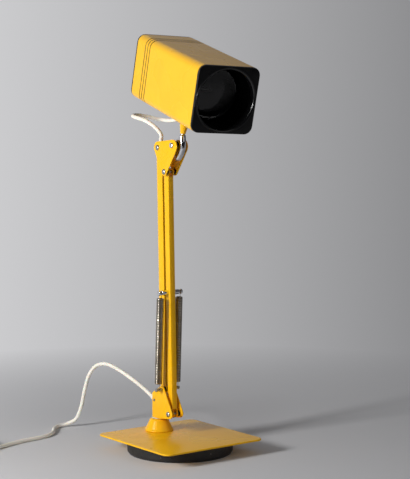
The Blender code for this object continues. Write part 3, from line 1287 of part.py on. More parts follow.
def make_tie():
    """A strap once round both layers of the coil."""
    middle, _ = coil_frame()
    outward = Vector((math.cos(TIE_ANGLE), math.sin(TIE_ANGLE), 0))
    clear = CORD_RADIUS + TIE_GAP
    inner_radius = coil_outer_radius() - STRAND_PITCH * COIL_TURNS / 2 - clear
    outer_radius = coil_outer_radius() + clear
    half_x = (outer_radius - inner_radius) / 2
    half_z = STRAND_PITCH / 2 + clear
    rings = []
    for grow in (0, TIE_WALL):
        outline = rounded_rectangle(half_x + grow, half_z + grow, CORD_RADIUS + grow)
        for side in ((-1, 1) if grow == 0 else (1, -1)):
            rings.append([Vector((x, side * TIE_WIDTH / 2, z)) for x, z in outline])
    strap_turn = Matrix.Rotation(TIE_ANGLE, 4, "Z")
    at = middle + outward * (outer_radius + inner_radius) / 2
    at.z = CORD_RADIUS + COIL_LIFT + STRAND_PITCH / 2
    place("cord_tie", skin(rings, closed=True), "black_plastic", None, at, strap_turn)


def make_plug(at, heading):
    """A flat two-pin plug, tapering to the cord."""
    half_w, half_t = PLUG_WIDTH / 2, PLUG_THICKNESS / 2
    shoulder_shares = [(0, 0), (1 / 4, 1 / 4), (1 / 2, 7 / 8), (1, 1)]
    rings = []
    for along, widen in shoulder_shares:
        across = PLUG_TAIL_RADIUS + (half_w - PLUG_TAIL_RADIUS) * widen
        thick = PLUG_TAIL_RADIUS + (half_t - PLUG_TAIL_RADIUS) * widen
        outline = rounded_rectangle(across, thick, min(across, thick) * 3 / 4)
        rings.append([Vector((PLUG_LENGTH * along, y, z)) for y, z in outline])
    turn = Matrix.Rotation(math.atan2(heading.y, heading.x), 4, "Z")
    place("plug_body", skin(rings), "ivory_pvc", None, at, turn)
    low = PLUG_LENGTH + SEAT_GAP
    tip = PLUG_PIN_RADIUS / 2
    profile = [(0, low), (PLUG_PIN_RADIUS, low), (PLUG_PIN_RADIUS, low + PLUG_PIN_LENGTH - tip)]
    profile += [(PLUG_PIN_RADIUS - tip, low + PLUG_PIN_LENGTH), (0, low + PLUG_PIN_LENGTH)]
    for side, label in ((1, "left"), (-1, "right")):
        offset = turn @ Vector((0, side * PLUG_PIN_SPACING / 2, 0))
        place(f"plug_pin_{label}", long_turned(profile), "brass", None, at + offset, turn)


def main():
    clear_scene()
    make_base()
    make_mast()
    make_arms()
    make_top_bracket()
    make_knuckle()
    make_head()
    make_springs()
    make_cords()
    bpy.context.view_layer.update()


main()
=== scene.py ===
"""Tabletop searchlight lamp: a box-shaped shade on a spring-balanced arm.

Laid out as an add-on. Each operator makes one group of visible pieces over the lamp's solids,
in the solids' own frame: metres, Z up, X forward, the middle of the base's underside at the origin.
"""

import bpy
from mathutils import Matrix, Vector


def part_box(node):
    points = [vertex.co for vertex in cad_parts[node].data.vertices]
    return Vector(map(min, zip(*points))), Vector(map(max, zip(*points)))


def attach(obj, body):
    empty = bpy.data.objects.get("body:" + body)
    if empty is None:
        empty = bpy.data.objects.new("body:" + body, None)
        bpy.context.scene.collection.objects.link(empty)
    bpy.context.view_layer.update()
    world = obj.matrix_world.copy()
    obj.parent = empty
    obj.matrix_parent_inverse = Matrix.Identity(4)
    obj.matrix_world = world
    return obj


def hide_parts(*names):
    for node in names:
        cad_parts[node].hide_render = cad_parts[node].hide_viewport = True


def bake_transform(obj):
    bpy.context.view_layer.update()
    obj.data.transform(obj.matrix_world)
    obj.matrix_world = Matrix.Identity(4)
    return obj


bl_info = {
    "name": "Tabletop searchlight lamp",
    "version": (1, 0, 0),
    "blender": (4, 5, 0),
    "location": "3D View > Sidebar > Lamp",
    "description": "Makes the visible pieces of a spring-balanced tabletop lamp",
    "category": "Object",
}

from math import atan2, cos, hypot, pi, radians, sin, sqrt, tau

import bmesh
import bpy
from mathutils import Matrix, Vector

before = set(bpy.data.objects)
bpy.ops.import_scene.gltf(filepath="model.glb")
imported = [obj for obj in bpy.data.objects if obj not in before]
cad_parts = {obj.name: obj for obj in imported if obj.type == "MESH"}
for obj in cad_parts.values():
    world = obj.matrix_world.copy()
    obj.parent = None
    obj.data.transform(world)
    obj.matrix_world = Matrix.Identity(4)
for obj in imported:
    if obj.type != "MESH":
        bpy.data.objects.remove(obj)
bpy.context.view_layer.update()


def spin(degrees, axis):
    return Matrix.Rotation(radians(degrees), 4, axis)


# Where the lamp's parts meet, as the solids have them
MAST_AT = Vector((-0.0541, 0, 0))
FRONT_FOOT = Vector((-0.0157, 0, 0.0543))
REAR_FOOT = Vector((-0.0323, 0, 0.0899))
ARM_TURN = spin(-1.49, "Y")
ARM_LENGTH = 0.3648
ARM_VECTOR = ARM_TURN @ Vector((0, 0, ARM_LENGTH))
FRONT_TOP = FRONT_FOOT + ARM_VECTOR
REAR_TOP = REAR_FOOT + ARM_VECTOR
TILT_AT = FRONT_TOP + Vector((0.0196, 0, 0.0399))
KNUCKLE_TURN = spin(13.44, "Y")
HEAD_AT = TILT_AT + KNUCKLE_TURN @ Vector((0.0093, 0, 0.0203))
HEAD_FRAME = Matrix.Translation(HEAD_AT) @ KNUCKLE_TURN @ spin(-10.79, "Z")
CROSS_PIN_AT = FRONT_FOOT + ARM_TURN @ Vector((-0.0052, 0, ARM_LENGTH * 0.5034))
SPRING_LINE = CROSS_PIN_AT - REAR_FOOT
SPRING_TURN = Matrix.Rotation(atan2(SPRING_LINE.x, SPRING_LINE.z), 4, "Y")
BOOT_TURN = spin(22, "Y")
PLATE_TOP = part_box("base_plate")[1].z
SHELL_REAR, SHELL_FRONT = -0.0946, 0.1144
SHELL_MIDDLE = 0.07825
SIDES = {"left": 1, "right": -1}
# What is made about Z is laid across the lamp by a matrix or, in a node, by three angles
ACROSS, LYING = spin(-90, "X"), (radians(90), 0, 0)
POINTS_KEPT_APART = 1e-6
FLAT_ENOUGH, SHARP_EDGE = radians(0.5), radians(35)
# Room left between pieces that rest on each other
SEAT_GAP = 0.0003
CONE_HEIGHT = 0.0184
# Radii of the pins' waists and the springs' outside, the hooks' room, and each spring's distance from the middle
PIN_WAIST, SPRING_RADIUS, HOOK_CLEARANCE, SPRING_ASIDE = 0.0019, 0.0058, 0.0004, 0.0172
# The shade's section: half its width and height and the corners' radius; its grooves; the bezel's opening
SHELL_HALF_Y, SHELL_HALF_Z, SHELL_CORNER = 0.0479, 0.04815, 0.0120
GROOVES, GROOVE_START, GROOVE_PITCH, GROOVE_HALF, GROOVE_DEPTH = 3, 0.0290, 0.0080, 0.0012, 0.0008
MOUTH_RADIUS, BULB_SET_BACK = 0.0425, 0.0390

# The studio: which way the paper lies, its front edge, and its greys, with the key light's falloff painted in from the
# key light's side to the far side
PAPER_SIDE = (-0.797, 0.604, 0.0)
AWAY_FROM_KEY = (0.604, 0.797, 0.0)
PAPER_FRONT = (1.87, -1.37, 0.0)
PAPER_PALE, PAPER_DIM, PAPER_LIT = "#D0D0D2", "#868688", "#DEDEE0"


def linear(code):
    """An sRGB hex colour as linear red, green, blue and alpha."""
    shares = [int(code[start:start + 2], 16) / 255 for start in (1, 3, 5)]
    return tuple(s / 12.92 if s <= 0.04045 else ((s + 0.055) / 1.055) ** 2.4 for s in shares) + (1.0,)


def rgba(colour):
    """A hex colour, or one from the panel, as the four linear values that sockets take."""
    return linear(colour) if isinstance(colour, str) else (*colour, 1.0)


def add(tree, kind, links=None, **settings):
    """Adds a node; links maps its inputs to values or to other nodes' outputs."""
    made = tree.nodes.new(kind)
    for name, value in settings.items():
        setattr(made, name, value)
    for socket, source in (links or {}).items():
        if isinstance(source, bpy.types.NodeSocket):
            tree.links.new(source, made.inputs[socket])
        else:
            made.inputs[socket].default_value = source
    return made


def new_material(name, colour, roughness, **sockets):
    """A material with its plain values set on the shader's own sockets."""
    made = bpy.data.materials.new(name)
    made.use_nodes = True
    shader = made.node_tree.nodes["Principled BSDF"]
    shader.inputs["Base Color"].default_value = rgba(colour)
    shader.inputs["Roughness"].default_value = roughness
    for socket, value in sockets.items():
        shader.inputs[socket.replace("_", " ")].default_value = value
    made.diffuse_color = rgba(colour)
    return made, made.node_tree, shader


def grain(tree, size, detail=3.0, stretch=(1, 1, 1)):
    """Noise whose coarsest feature is size metres across, on the piece's own coordinates."""
    where = add(tree, "ShaderNodeTexCoord").outputs["Object"]
    if stretch != (1, 1, 1):
        where = add(tree, "ShaderNodeMapping", {"Vector": where, "Scale": stretch}).outputs[0]
    links = {"Vector": where, "Scale": 1 / size, "Detail": detail, "Roughness": 0.5}
    return add(tree, "ShaderNodeTexNoise", links).outputs["Fac"]


def ramp(tree, value, low, high, from_low=0.35, from_high=0.65):
    """Stretches the middle of a pattern's range to the range low to high."""
    links = {"Value": value, 1: from_low, 2: from_high, 3: low, 4: high}
    return add(tree, "ShaderNodeMapRange", links).outputs[0]


def blend_colours(tree, share, first, second):
    """The first colour where share is 0 and the second where it is 1; either may be another node's output."""
    first, second = (c if isinstance(c, bpy.types.NodeSocket) else rgba(c) for c in (first, second))
    return add(tree, "ShaderNodeMix", {0: share, 6: first, 7: second}, data_type="RGBA").outputs[2]


def maths(tree, operation, first, second):
    return add(tree, "ShaderNodeMath", {0: first, 1: second}, operation=operation).outputs[0]


def vectors(tree, operation, *operands):
    """A vector operation's result: a number where it gives one, a vector otherwise."""
    made = add(tree, "ShaderNodeVectorMath", dict(enumerate(operands)), operation=operation)
    return made.outputs["Value" if operation in ("DOT_PRODUCT", "LENGTH") else "Vector"]


def bump(tree, height, depth):
    return add(tree, "ShaderNodeBump", {"Height": height, "Distance": depth, "Strength": 1.0}).outputs[0]


def join_node(tree, source, shader, socket):
    tree.links.new(source, shader.inputs[socket])


def varied_material(name, colour, roughness, tone=None, sheen=None, relief=None, **sockets):
    """A material with patches of two colours (size, first, second), of a rougher and a smoother
    surface (size, low, high), and a relief (size, depth). The detail and the stretch of a
    pattern's noise may follow."""
    made, tree, shader = new_material(name, colour, roughness, **sockets)
    if tone:
        size, first, second = tone
        patches = ramp(tree, grain(tree, size), 0, 1)
        join_node(tree, blend_colours(tree, patches, first, second), shader, "Base Color")
    if sheen:
        size, low, high, *noise = sheen
        join_node(tree, ramp(tree, grain(tree, size, *noise), low, high), shader, "Roughness")
    if relief:
        size, depth, *noise = relief
        join_node(tree, bump(tree, grain(tree, size, *noise), depth), shader, "Normal")
    return made


def stoved_enamel():
    """Stoved enamel on sheet steel: a deep, even yellow gloss with the faintest orange peel."""
    finish = bpy.context.scene.lamp_colours
    # The peel of the real coat is about 1 mm across and a few microns deep
    return varied_material("stoved_enamel", finish.enamel, 0.3, (0.045, finish.enamel, finish.enamel_deep),
                           (0.05, 0.26, 0.29, 1.0), (0.0016, 0.000002, 0.0), Specular_IOR_Level=0.22,
                           Coat_Weight=0.04, Coat_Roughness=0.1)


def groove_painted_shade():
    """The same enamel at the bottom of a rolled groove, painted dark brown as the shade that falls in the narrow
    valley.
    """
    return varied_material("groove_painted_shade", "#3A2608", 0.6, (0.006, "#452E0A", "#2C1D07"),
                           relief=(0.001, 0.00002), Specular_IOR_Level=0.2)


def matt_lining():
    """Matt black stoving paint inside the shade: it swallows stray light and looks velvety."""
    return varied_material("matt_lining", "#0E0E0E", 0.75, (0.01, "#0B0B0B", "#131212"),
                           relief=(0.0012, 0.00004), Specular_IOR_Level=0.2)


def painted_iron():
    """Sand-cast iron under thin black paint: matt and grainy, with a few pale chips."""
    # Moulding sand leaves the grain, drawn 1.1 mm across
    made = varied_material("painted_iron", "#1B1918", 0.6, (0.012, "#181716", "#211F1D"), (0.006, 0.5, 0.7),
                           (0.0011, 0.00012, 4.0))
    tree = made.node_tree
    shader = tree.nodes["Principled BSDF"]
    plain = shader.inputs["Base Color"].links[0].from_socket
    chips = ramp(tree, grain(tree, 0.0030, detail=1.5), 0, 0.9, 0.735, 0.755)
    join_node(tree, blend_colours(tree, chips, plain, "#B9B4AC"), shader, "Base Color")
    return made


def moulded_black():
    """Injection-moulded ABS, dyed black: a soft sheen over a fine spark-eroded grain."""
    # The tool's grain is 0.2 mm; it is drawn twice as coarse so that it shows
    return varied_material("moulded_black", "#080809", 0.34, (0.02, "#060607", "#0B0B0C"), (0.009, 0.26, 0.38),
                           (0.0004, 0.000012, 1.0), Specular_IOR_Level=0.25)


def polished_black():
    """The same black ABS from a polished part of the tool: a wet-looking gloss."""
    return varied_material("polished_black", "#0A0A0B", 0.16, None, (0.006, 0.12, 0.2),
                           (0.004, 0.000004, 0.0))


def chrome_plate():
    """Chromium over nickel on the cast and turned parts: a near mirror with faint handling haze."""
    return varied_material("chrome_plate", "#DCDDE0", 0.07, (0.006, "#E0E1E4", "#CFCFD2"), (0.004, 0.05, 0.14),
                           (0.003, 0.00002, 1.0), Metallic=1.0)


def zinc_plate():
    """Turned steel under bright zinc: a soft metal shine with a little dulling."""
    # Tool marks run round the pin, drawn about 0.1 mm apart
    return varied_material("zinc_plate", "#B9B9B6", 0.3, (0.0025, "#C2C2BF", "#96958F"), (0.0015, 0.24, 0.42),
                           (0.0006, 0.00001, 1.0, (1, 6, 1)), Metallic=1.0)


def spring_wire():
    """Oil-tempered drawn wire: grey-brown steel, shiny where the light grazes it."""
    return varied_material("spring_wire", "#B8B1A5", 0.22, (0.008, "#C2BBAF", "#A29A8D"), (0.004, 0.2, 0.26),
                           Metallic=1.0)


def ivory_pvc():
    """Extruded soft PVC, ivory: a dull smooth sheath, a little grubby in patches."""
    sheath = bpy.context.scene.lamp_colours.cord
    made = varied_material("ivory_pvc", sheath, 0.45, None, (0.01, 0.4, 0.52), (0.0025, 0.00002, 1.0),
                           Subsurface_Weight=0.08, Subsurface_Scale=0.002)
    tree = made.node_tree
    grubby = ramp(tree, grain(tree, 0.03, detail=5.0), 0, 0.7, 0.45, 0.8)
    handled = blend_colours(tree, grubby, sheath, "#E8E1CC")
    join_node(tree, handled, tree.nodes["Principled BSDF"], "Base Color")
    return made


def pale_nylon():
    """Moulded nylon, undyed: waxy and slightly see-through at thin edges."""
    return varied_material("pale_nylon", "#DDD6C2", 0.45, (0.008, "#E0DAC8", "#CFC5AB"), relief=(0.001, 0.00002),
                           Subsurface_Weight=0.15, Subsurface_Scale=0.002)


def glazed_porcelain():
    """Glazed electrical porcelain: white body, wet-looking glaze with slight waves."""
    return varied_material("glazed_porcelain", "#ECE9E1", 0.14, (0.012, "#EEEBE4", "#E0DBCE"),
                           relief=(0.005, 0.00008), Coat_Weight=0.6, Coat_Roughness=0.05)


def lamp_glass():
    """Blown clear glass, slightly wavy from the mould, that mirrors less than a plain pane would."""
    return varied_material("lamp_glass", "#FFFFFF", 0.02, relief=(0.012, 0.0002, 1.0), IOR=1.28,
                           Transmission_Weight=1.0)


def bowl_painted_dark():
    """The metal film on the inside of the bulb's bowl, coloured near black as painted shade and painted dark reflection
    deep in the shade's recess: a slightly hazy mirror.
    """
    return varied_material("bowl_painted_dark", "#28282A", 0.2, (0.01, "#303032", "#1C1C1E"),
                           relief=(0.008, 0.0003, 2.0), Metallic=1.0)


def plain_brass():
    """Pressed brass, uncoated: warm, with a thin brown tarnish in patches."""
    return varied_material("plain_brass", "#C9A55A", 0.26, (0.005, "#CFAE62", "#9A7638"), (0.002, 0.2, 0.4),
                           Metallic=1.0)


def pressed_felt():
    """Pressed wool felt, black: no shine, a nap of crossed hairs."""
    made, tree, shader = new_material("pressed_felt", "#1B1A1A", 0.95, Sheen_Weight=0.3)
    # Hairs are 0.03 mm; they are drawn 0.5 mm across so that the nap shows
    nap = grain(tree, 0.0005, detail=4.0)
    join_node(tree, blend_colours(tree, ramp(tree, nap, 0, 1), "#141313", "#2A2828"), shader, "Base Color")
    join_node(tree, bump(tree, nap, 0.0003), shader, "Normal")
    return made


MATERIALS = {}


def material_for(maker):
    """Each finish is made once, by the function that describes it."""
    if maker.__name__ not in MATERIALS:
        MATERIALS[maker.__name__] = maker()
    return MATERIALS[maker.__name__]


def linked(name, data):
    made = bpy.data.objects.new(name, data)
    bpy.context.collection.objects.link(made)
    return made


def finish_piece(name, mesh, maker, body, stands_for=(), place=None, sharp=40):
    """Links a finished mesh at the origin, in metres, and says what it rides on and stands for."""
    if place is not None:
        mesh.transform(place)
    mesh.shade_smooth()
    mesh.set_sharp_from_angle(angle=radians(sharp))
    mesh.name = name
    mesh.materials.clear()
    mesh.materials.append(material_for(maker))
    piece = linked(name, mesh)
    if body:
        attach(piece, body)
    if stands_for:
        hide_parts(*stands_for)
    return piece


def mesh_of(bm):
    """Closes a working mesh: faces turned out, doubles merged."""
    bmesh.ops.remove_doubles(bm, verts=bm.verts, dist=POINTS_KEPT_APART)
    bmesh.ops.recalc_face_normals(bm, faces=bm.faces)
    mesh = bpy.data.meshes.new("shape")
    bm.to_mesh(mesh)
    bm.free()
    return mesh


def skinned(rings, closed=False):
    """Faces between rings of points; a ring of one point is a pole, and open ends are capped."""
    bm = bmesh.new()
    made = [[bm.verts.new(point) for point in ring] for ring in rings]
    pairs = list(zip(made, made[1:])) + ([(made[-1], made[0])] if closed else [])
    for low, high in pairs:
        count = max(len(low), len(high))
        for k in range(count):
            corners = [low[k % len(low)], low[(k + 1) % len(low)]]
            corners += [high[(k + 1) % len(high)], high[k % len(high)]]
            corners = list(dict.fromkeys(corners))
            if len(corners) > 2:
                bm.faces.new(corners)
    if not closed:
        for ring in (made[0], made[-1]):
            if len(ring) > 2:
                bm.faces.new(ring)
    return mesh_of(bm)


def eased(outline, amount, steps=3, closed=False):
    """Rounds the corners of a line of 2-D points; amount may be one length or one for each corner."""
    count, rounded = len(outline), []
    for k, corner in enumerate(outline):
        corner = Vector(corner)
        reach = amount[k] if isinstance(amount, (list, tuple)) else amount
        if not reach or (not closed and k in (0, count - 1)):
            rounded.append(tuple(corner))
            continue
        before, after = Vector(outline[k - 1]) - corner, Vector(outline[(k + 1) % count]) - corner
        reach = min(reach, before.length * 0.48, after.length * 0.48)
        first, last = corner + before.normalized() * reach, corner + after.normalized() * reach
        for step in range(steps + 1):
            share = step / steps
            point = first * (1 - share) ** 2 + corner * 2 * share * (1 - share) + last * share ** 2
            rounded.append(tuple(point))
    return rounded


def turned(profile, steps=96, closed=False):
    """A piece turned about Z from (radius, height) points."""
    rings = []
    for radius, height in profile:
        if radius < POINTS_KEPT_APART:
            rings.append([Vector((0, 0, height))])
            continue
        angles = [tau * k / steps for k in range(steps)]
        rings.append([Vector((radius * cos(a), radius * sin(a), height)) for a in angles])
    return skinned(rings, closed)


def quarter_turn(steps):
    """Angles from 0 to 90 degrees."""
    return [radians(90) * step / steps for step in range(steps + 1)]


def rounded_box_line(half_x, half_y, radius, steps):
    """A rectangle with round corners, counter-clockwise."""
    line = []
    for quarter, (sx, sy) in enumerate(((1, 1), (-1, 1), (-1, -1), (1, -1))):
        for step in range(steps + 1):
            angle = radians(90) * (quarter + step / steps)
            x = sx * (half_x - radius) + radius * cos(angle)
            line.append((x, sy * (half_y - radius) + radius * sin(angle)))
    return line


def refined(node, width, segments=2):
    """A copy of a solid's mesh with its flats made whole and its sharp edges rounded."""
    bm = bmesh.new()
    bm.from_mesh(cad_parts[node].data)
    bmesh.ops.remove_doubles(bm, verts=bm.verts, dist=POINTS_KEPT_APART * 5)
    bmesh.ops.dissolve_limit(bm, angle_limit=FLAT_ENOUGH, verts=bm.verts, edges=bm.edges)
    sharp = [e for e in bm.edges if len(e.link_faces) == 2 and e.calc_face_angle(0) > SHARP_EDGE]
    bmesh.ops.bevel(bm, geom=sharp, offset=width, segments=segments, profile=0.5, affect="EDGES",
                    clamp_overlap=True)
    bmesh.ops.triangulate(bm, faces=[f for f in bm.faces if len(f.verts) > 4])
    mesh = bpy.data.meshes.new("shape")
    bm.to_mesh(mesh)
    bm.free()
    return mesh


def carved(mesh, cutters):
    """A mesh with others cut out of it."""
    body = linked("carved", mesh)
    tools = [linked("cutter", cutter) for cutter in cutters]
    for tool in tools:
        cut = body.modifiers.new("cut", "BOOLEAN")
        cut.operation, cut.solver, cut.object = "DIFFERENCE", "EXACT", tool
    result = bpy.data.meshes.new_from_object(body.evaluated_get(bpy.context.evaluated_depsgraph_get()))
    for spare in (body, *tools):
        bpy.data.objects.remove(spare)
    return result


def wrapped(circles, half_width, edge, drawn_in=0.0):
    """A plate in the X-Z plane whose outline is a belt round circles (x, z, radius), with rounded edges."""
    near = [(half_width - edge + edge * sin(a), edge * (1 - cos(a))) for a in quarter_turn(8)]
    rings, steps = [], 96
    for y, inset in [(-y, inset) for y, inset in reversed(near)] + near:
        ring = []
        for step in range(steps):
            angle = -tau * (step + 0.5) / steps
            out = Vector((cos(angle), sin(angle)))
            x, z, radius = max(circles, key=lambda c: c[0] * out.x + c[1] * out.y + c[2])
            reach = radius - drawn_in - inset
            ring.append(Vector((x + reach * out.x, y, z + reach * out.y)))
        rings.append(ring)
    return skinned(rings)


def refined_piece(node, width, maker, body, segments=2):
    return finish_piece(node + "_finished", refined(node, width, segments), maker, body, (node,))


def dress_node(node, maker):
    """A solid whose shape is already right gets its finish."""
    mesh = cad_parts[node].data
    mesh.materials.clear()
    mesh.materials.append(material_for(maker))


def new_geometry_tree(name, **measures):
    """A geometry tree that takes a geometry, lengths with the values given, and a material; returns it
    with the outputs of its input node."""
    tree = bpy.data.node_groups.new(name, "GeometryNodeTree")
    tree.interface.new_socket(name="Geometry", in_out="INPUT", socket_type="NodeSocketGeometry")
    for label, value in measures.items():
        made = tree.interface.new_socket(name=label, in_out="INPUT", socket_type="NodeSocketFloat")
        made.default_value = value
    tree.interface.new_socket(name="Material", in_out="INPUT", socket_type="NodeSocketMaterial")
    tree.interface.new_socket(name="Geometry", in_out="OUTPUT", socket_type="NodeSocketGeometry")
    return tree, tree.nodes.new("NodeGroupInput").outputs


def end_tree(tree, geometry, given):
    """Every tree ends in Realize Instances and Set Material."""
    real = add(tree, "GeometryNodeRealizeInstances", {"Geometry": geometry}).outputs[0]
    painted = add(tree, "GeometryNodeSetMaterial", {"Geometry": real, "Material": given["Material"]}).outputs[0]
    tree.links.new(painted, tree.nodes.new("NodeGroupOutput").inputs[0])


def copies(tree, parts, given):
    """Joins parts and puts a copy at every point of the mesh the tree is given."""
    whole = add(tree, "GeometryNodeJoinGeometry")
    for part in parts:
        tree.links.new(part, whole.inputs[0])
    links = {"Points": given["Geometry"], "Instance": whole.outputs[0]}
    return add(tree, "GeometryNodeInstanceOnPoints", links).outputs[0]


def moved(tree, geometry, **change):
    """A geometry turned (Rotation), scaled (Scale) or shifted (Translation)."""
    return add(tree, "GeometryNodeTransform", {"Geometry": geometry, **change}).outputs[0]


def combined(tree, **parts):
    return add(tree, "ShaderNodeCombineXYZ", parts).outputs[0]


def grown(name, mesh, tree, values):
    """Runs a geometry tree on a mesh and returns the result as a plain mesh."""
    holder = linked(name, mesh)
    modifier = holder.modifiers.new(name, "NODES")
    modifier.node_group = tree
    for item in tree.interface.items_tree:
        if item.item_type == "SOCKET" and item.in_out == "INPUT" and item.name in values:
            modifier[item.identifier] = values[item.name]
    bpy.context.view_layer.update()
    result = bpy.data.meshes.new_from_object(holder.evaluated_get(bpy.context.evaluated_depsgraph_get()))
    bpy.data.objects.remove(holder, do_unlink=True)
    return result


def points_mesh(points, joined=False):
    """A mesh of points alone, or of a line through them."""
    mesh = bpy.data.meshes.new("places")
    edges = [(k, k + 1) for k in range(len(points) - 1)] if joined else []
    mesh.from_pydata([tuple(p) for p in points], edges, [])
    return mesh


CORD_WIDTH = 0.0060
CORD_RADIUS = CORD_WIDTH / 2
STRAND_PITCH = CORD_WIDTH + 0.0007
# Routes of the mains cord from the strain relief to the coil and of the cord from the shade to
# the arm, as the solids have them
MAINS_ROUTE = [
    (-0.0860, 0.0000, 0.0779), (-0.1100, -0.0020, 0.0880), (-0.1500, -0.0070, 0.1020),
    (-0.1800, -0.0120, 0.1085), (-0.2000, -0.0180, 0.1040), (-0.2130, -0.0235, 0.0880),
    (-0.2215, -0.0270, 0.0620), (-0.2290, -0.0290, 0.0340), (-0.2390, -0.0330, 0.0130),
    (-0.2500, -0.0440, 0.0045), (-0.2500, -0.0600, 0.0032), (-0.2360, -0.0760, 0.0032),
    (-0.2160, -0.0900, 0.0032), (-0.2010, -0.1090, 0.0032), (-0.1950, -0.1320, 0.0032),
    (-0.1910, -0.1600, 0.0032), (-0.1840, -0.1850, 0.0032),
]
MAINS_CROSSING = Vector((-0.1759, -0.2085, 0.0032))
HEAD_ROUTE = [
    (-0.0170, 0.0070, 0.4968), (-0.0310, 0.0100, 0.4950), (-0.0500, 0.0140, 0.4945),
    (-0.0720, 0.0175, 0.4952), (-0.0900, 0.0182, 0.4968), (-0.1035, 0.0135, 0.4998),
    (-0.1095, 0.0010, 0.5018), (-0.1040, -0.0115, 0.5012), (-0.0915, -0.0160, 0.4992),
    (-0.0705, -0.0140, 0.4950), (-0.0574, -0.0100, 0.4888), (-0.0484, -0.0050, 0.4806),
    (-0.0449, -0.0012, 0.4725),
]
BOOT_BACK = BOOT_TURN @ Vector((-1, 0, 0))
BOOT_MIDDLE = Vector((-0.0541, 0, 0.0650))
BOOT_END = BOOT_MIDDLE + BOOT_BACK * 0.0195
COIL_TURNS, COIL_LIFT, COIL_INNER = 5.97, 0.0011, 0.0345
# From the crossing to the coil's entry, straight cord before that, the tail's length and how far it stays level
TO_ENTRY, LEAD_IN, TAIL_LENGTH, TAIL_LEVEL = 0.033, 0.006, 0.042, 0.020
PLUG_HEIGHT = 0.0068 + 0.0002


def smooth_run(points, spacing):
    """Points at even spacing along a smooth curve through the given points."""
    route = [Vector(point) for point in points]
    padded = [2 * route[0] - route[1]] + route + [2 * route[-1] - route[-2]]
    fine = []
    for index in range(1, len(padded) - 2):
        before, start, end, after = padded[index - 1:index + 3]
        span = (end - start).length
        slope_in = (end - before) * span / ((end - start).length + (start - before).length)
        slope_out = (after - start) * span / ((end - start).length + (after - end).length)
        for part in range(12):
            t = part / 12
            fine.append(start * (2 * t**3 - 3 * t**2 + 1) + slope_in * (t**3 - 2 * t**2 + t)
                        + end * (3 * t**2 - 2 * t**3) + slope_out * (t**3 - t**2))
    fine.append(route[-1])
    lengths = [0.0]
    for here, there in zip(fine, fine[1:]):
        lengths.append(lengths[-1] + (there - here).length)
    count = max(2, round(lengths[-1] / spacing))
    evened, position = [], 0
    for step in range(count + 1):
        wanted = lengths[-1] * step / count
        while position < len(lengths) - 2 and lengths[position + 1] < wanted:
            position += 1
        share = (wanted - lengths[position]) / (lengths[position + 1] - lengths[position])
        evened.append(fine[position].lerp(fine[position + 1], min(1, share)))
    return evened


def smooth_step(share):
    """From 0 to 1 with level ends."""
    return share * share * (3 - 2 * share)


def hose_mesh(points, radius, sides=20):
    """A round tube along a line of points, its ends square."""
    last = len(points) - 1
    heads = [(points[min(k + 1, last)] - points[max(k - 1, 0)]).normalized() for k in range(last + 1)]
    side = heads[0].orthogonal().normalized()
    rings = []
    for point, ahead in zip(points, heads):
        side = (side - ahead * side.dot(ahead)).normalized()
        other = ahead.cross(side)
        angles = [tau * k / sides for k in range(sides)]
        rings.append([point + side * radius * cos(a) + other * radius * sin(a) for a in angles])
    return skinned(rings)


def coil_run():
    """The put-away length, in on the floor, up, and out again on top, and a tail to the plug; with
    where the coil is entered and the headings there and at the plug."""
    heading = (MAINS_CROSSING - Vector(MAINS_ROUTE[-1])).normalized()
    entry = MAINS_CROSSING + heading * TO_ENTRY
    entry.z = low = CORD_RADIUS + COIL_LIFT
    outer = COIL_INNER + STRAND_PITCH * COIL_TURNS / 4
    start = atan2(heading.x, -heading.y)
    middle = entry - Vector((cos(start), sin(start), 0)) * outer
    points, total, half_way = [], 430, COIL_TURNS / 2
    for step in range(total + 1):
        turn = COIL_TURNS * step / total
        radius = outer - STRAND_PITCH * (half_way - abs(turn - half_way))
        rise = smooth_step(min(1, max(0, (turn - half_way) / 0.5 + 0.5)))
        angle = start - tau * turn
        points.append(middle + Vector((radius * cos(angle), radius * sin(angle), 0)))
        points[-1].z = low + STRAND_PITCH * rise
    leaving = points[-1] - points[-2]
    leaving.z = 0
    leaving.normalize()
    drop, tail = points[-1].z - PLUG_HEIGHT, []
    for index in range(1, 19):
        along = TAIL_LENGTH * index / 18
        share = min(1, max(0, (along - TAIL_LEVEL) / (TAIL_LENGTH - CORD_WIDTH - TAIL_LEVEL)))
        tail.append(points[-1] + leaving * along - Vector((0, 0, drop * smooth_step(share))))
    return [entry - heading * LEAD_IN] + points, tail, entry, heading, leaving


def size_setting(name, text, value, low, high):
    return bpy.props.FloatProperty(name=name, description=text, default=value, min=low, max=high, unit="LENGTH",
                                   precision=4)


def colour_setting(name, text, code):
    return bpy.props.FloatVectorProperty(name=name, description=text, subtype="COLOR", size=3, min=0, max=1,
                                         default=linear(code)[:3])


class LampSizes(bpy.types.PropertyGroup):
    """Sizes a user may change without touching the solids."""

    spring_wire: size_setting("Spring wire", "Diameter of the balance springs' wire", 0.00088, 0.0006, 0.0020)
    spring_turns: bpy.props.IntProperty(
        name="Spring turns", description="Close-wound turns in each balance spring", default=148, min=20, max=160)
    enamel_edge: size_setting("Enamel edge", "Radius that the enamel gives a cut sheet edge", 0.0004, 0.0001, 0.0008)
    lip_width: size_setting("Bezel lip", "Width of the raised lip round the bezel's opening", 0.0034, 0.0010, 0.0040)
    rivet_dome: size_setting("Rivet dome", "How far a rivet's head stands off its cheek", 0.0018, 0.0008, 0.0024)
    light_power: bpy.props.FloatProperty(
        name="Key light", description="Power of the key light", default=14.5, min=0.0, max=60.0, unit="POWER")


class LampColours(bpy.types.PropertyGroup):
    """Colours a user may change."""

    enamel: colour_setting("Enamel", "The enamel's main yellow", "#FCC118")
    enamel_deep: colour_setting("Deeper enamel", "The yellow where the coat is thicker", "#FABC13")
    cord: colour_setting("Cord", "Sheath of the cords, and the plug", "#F8F4E8")
    backdrop: colour_setting("Backdrop", "Floor and background", "#B0B0B2")


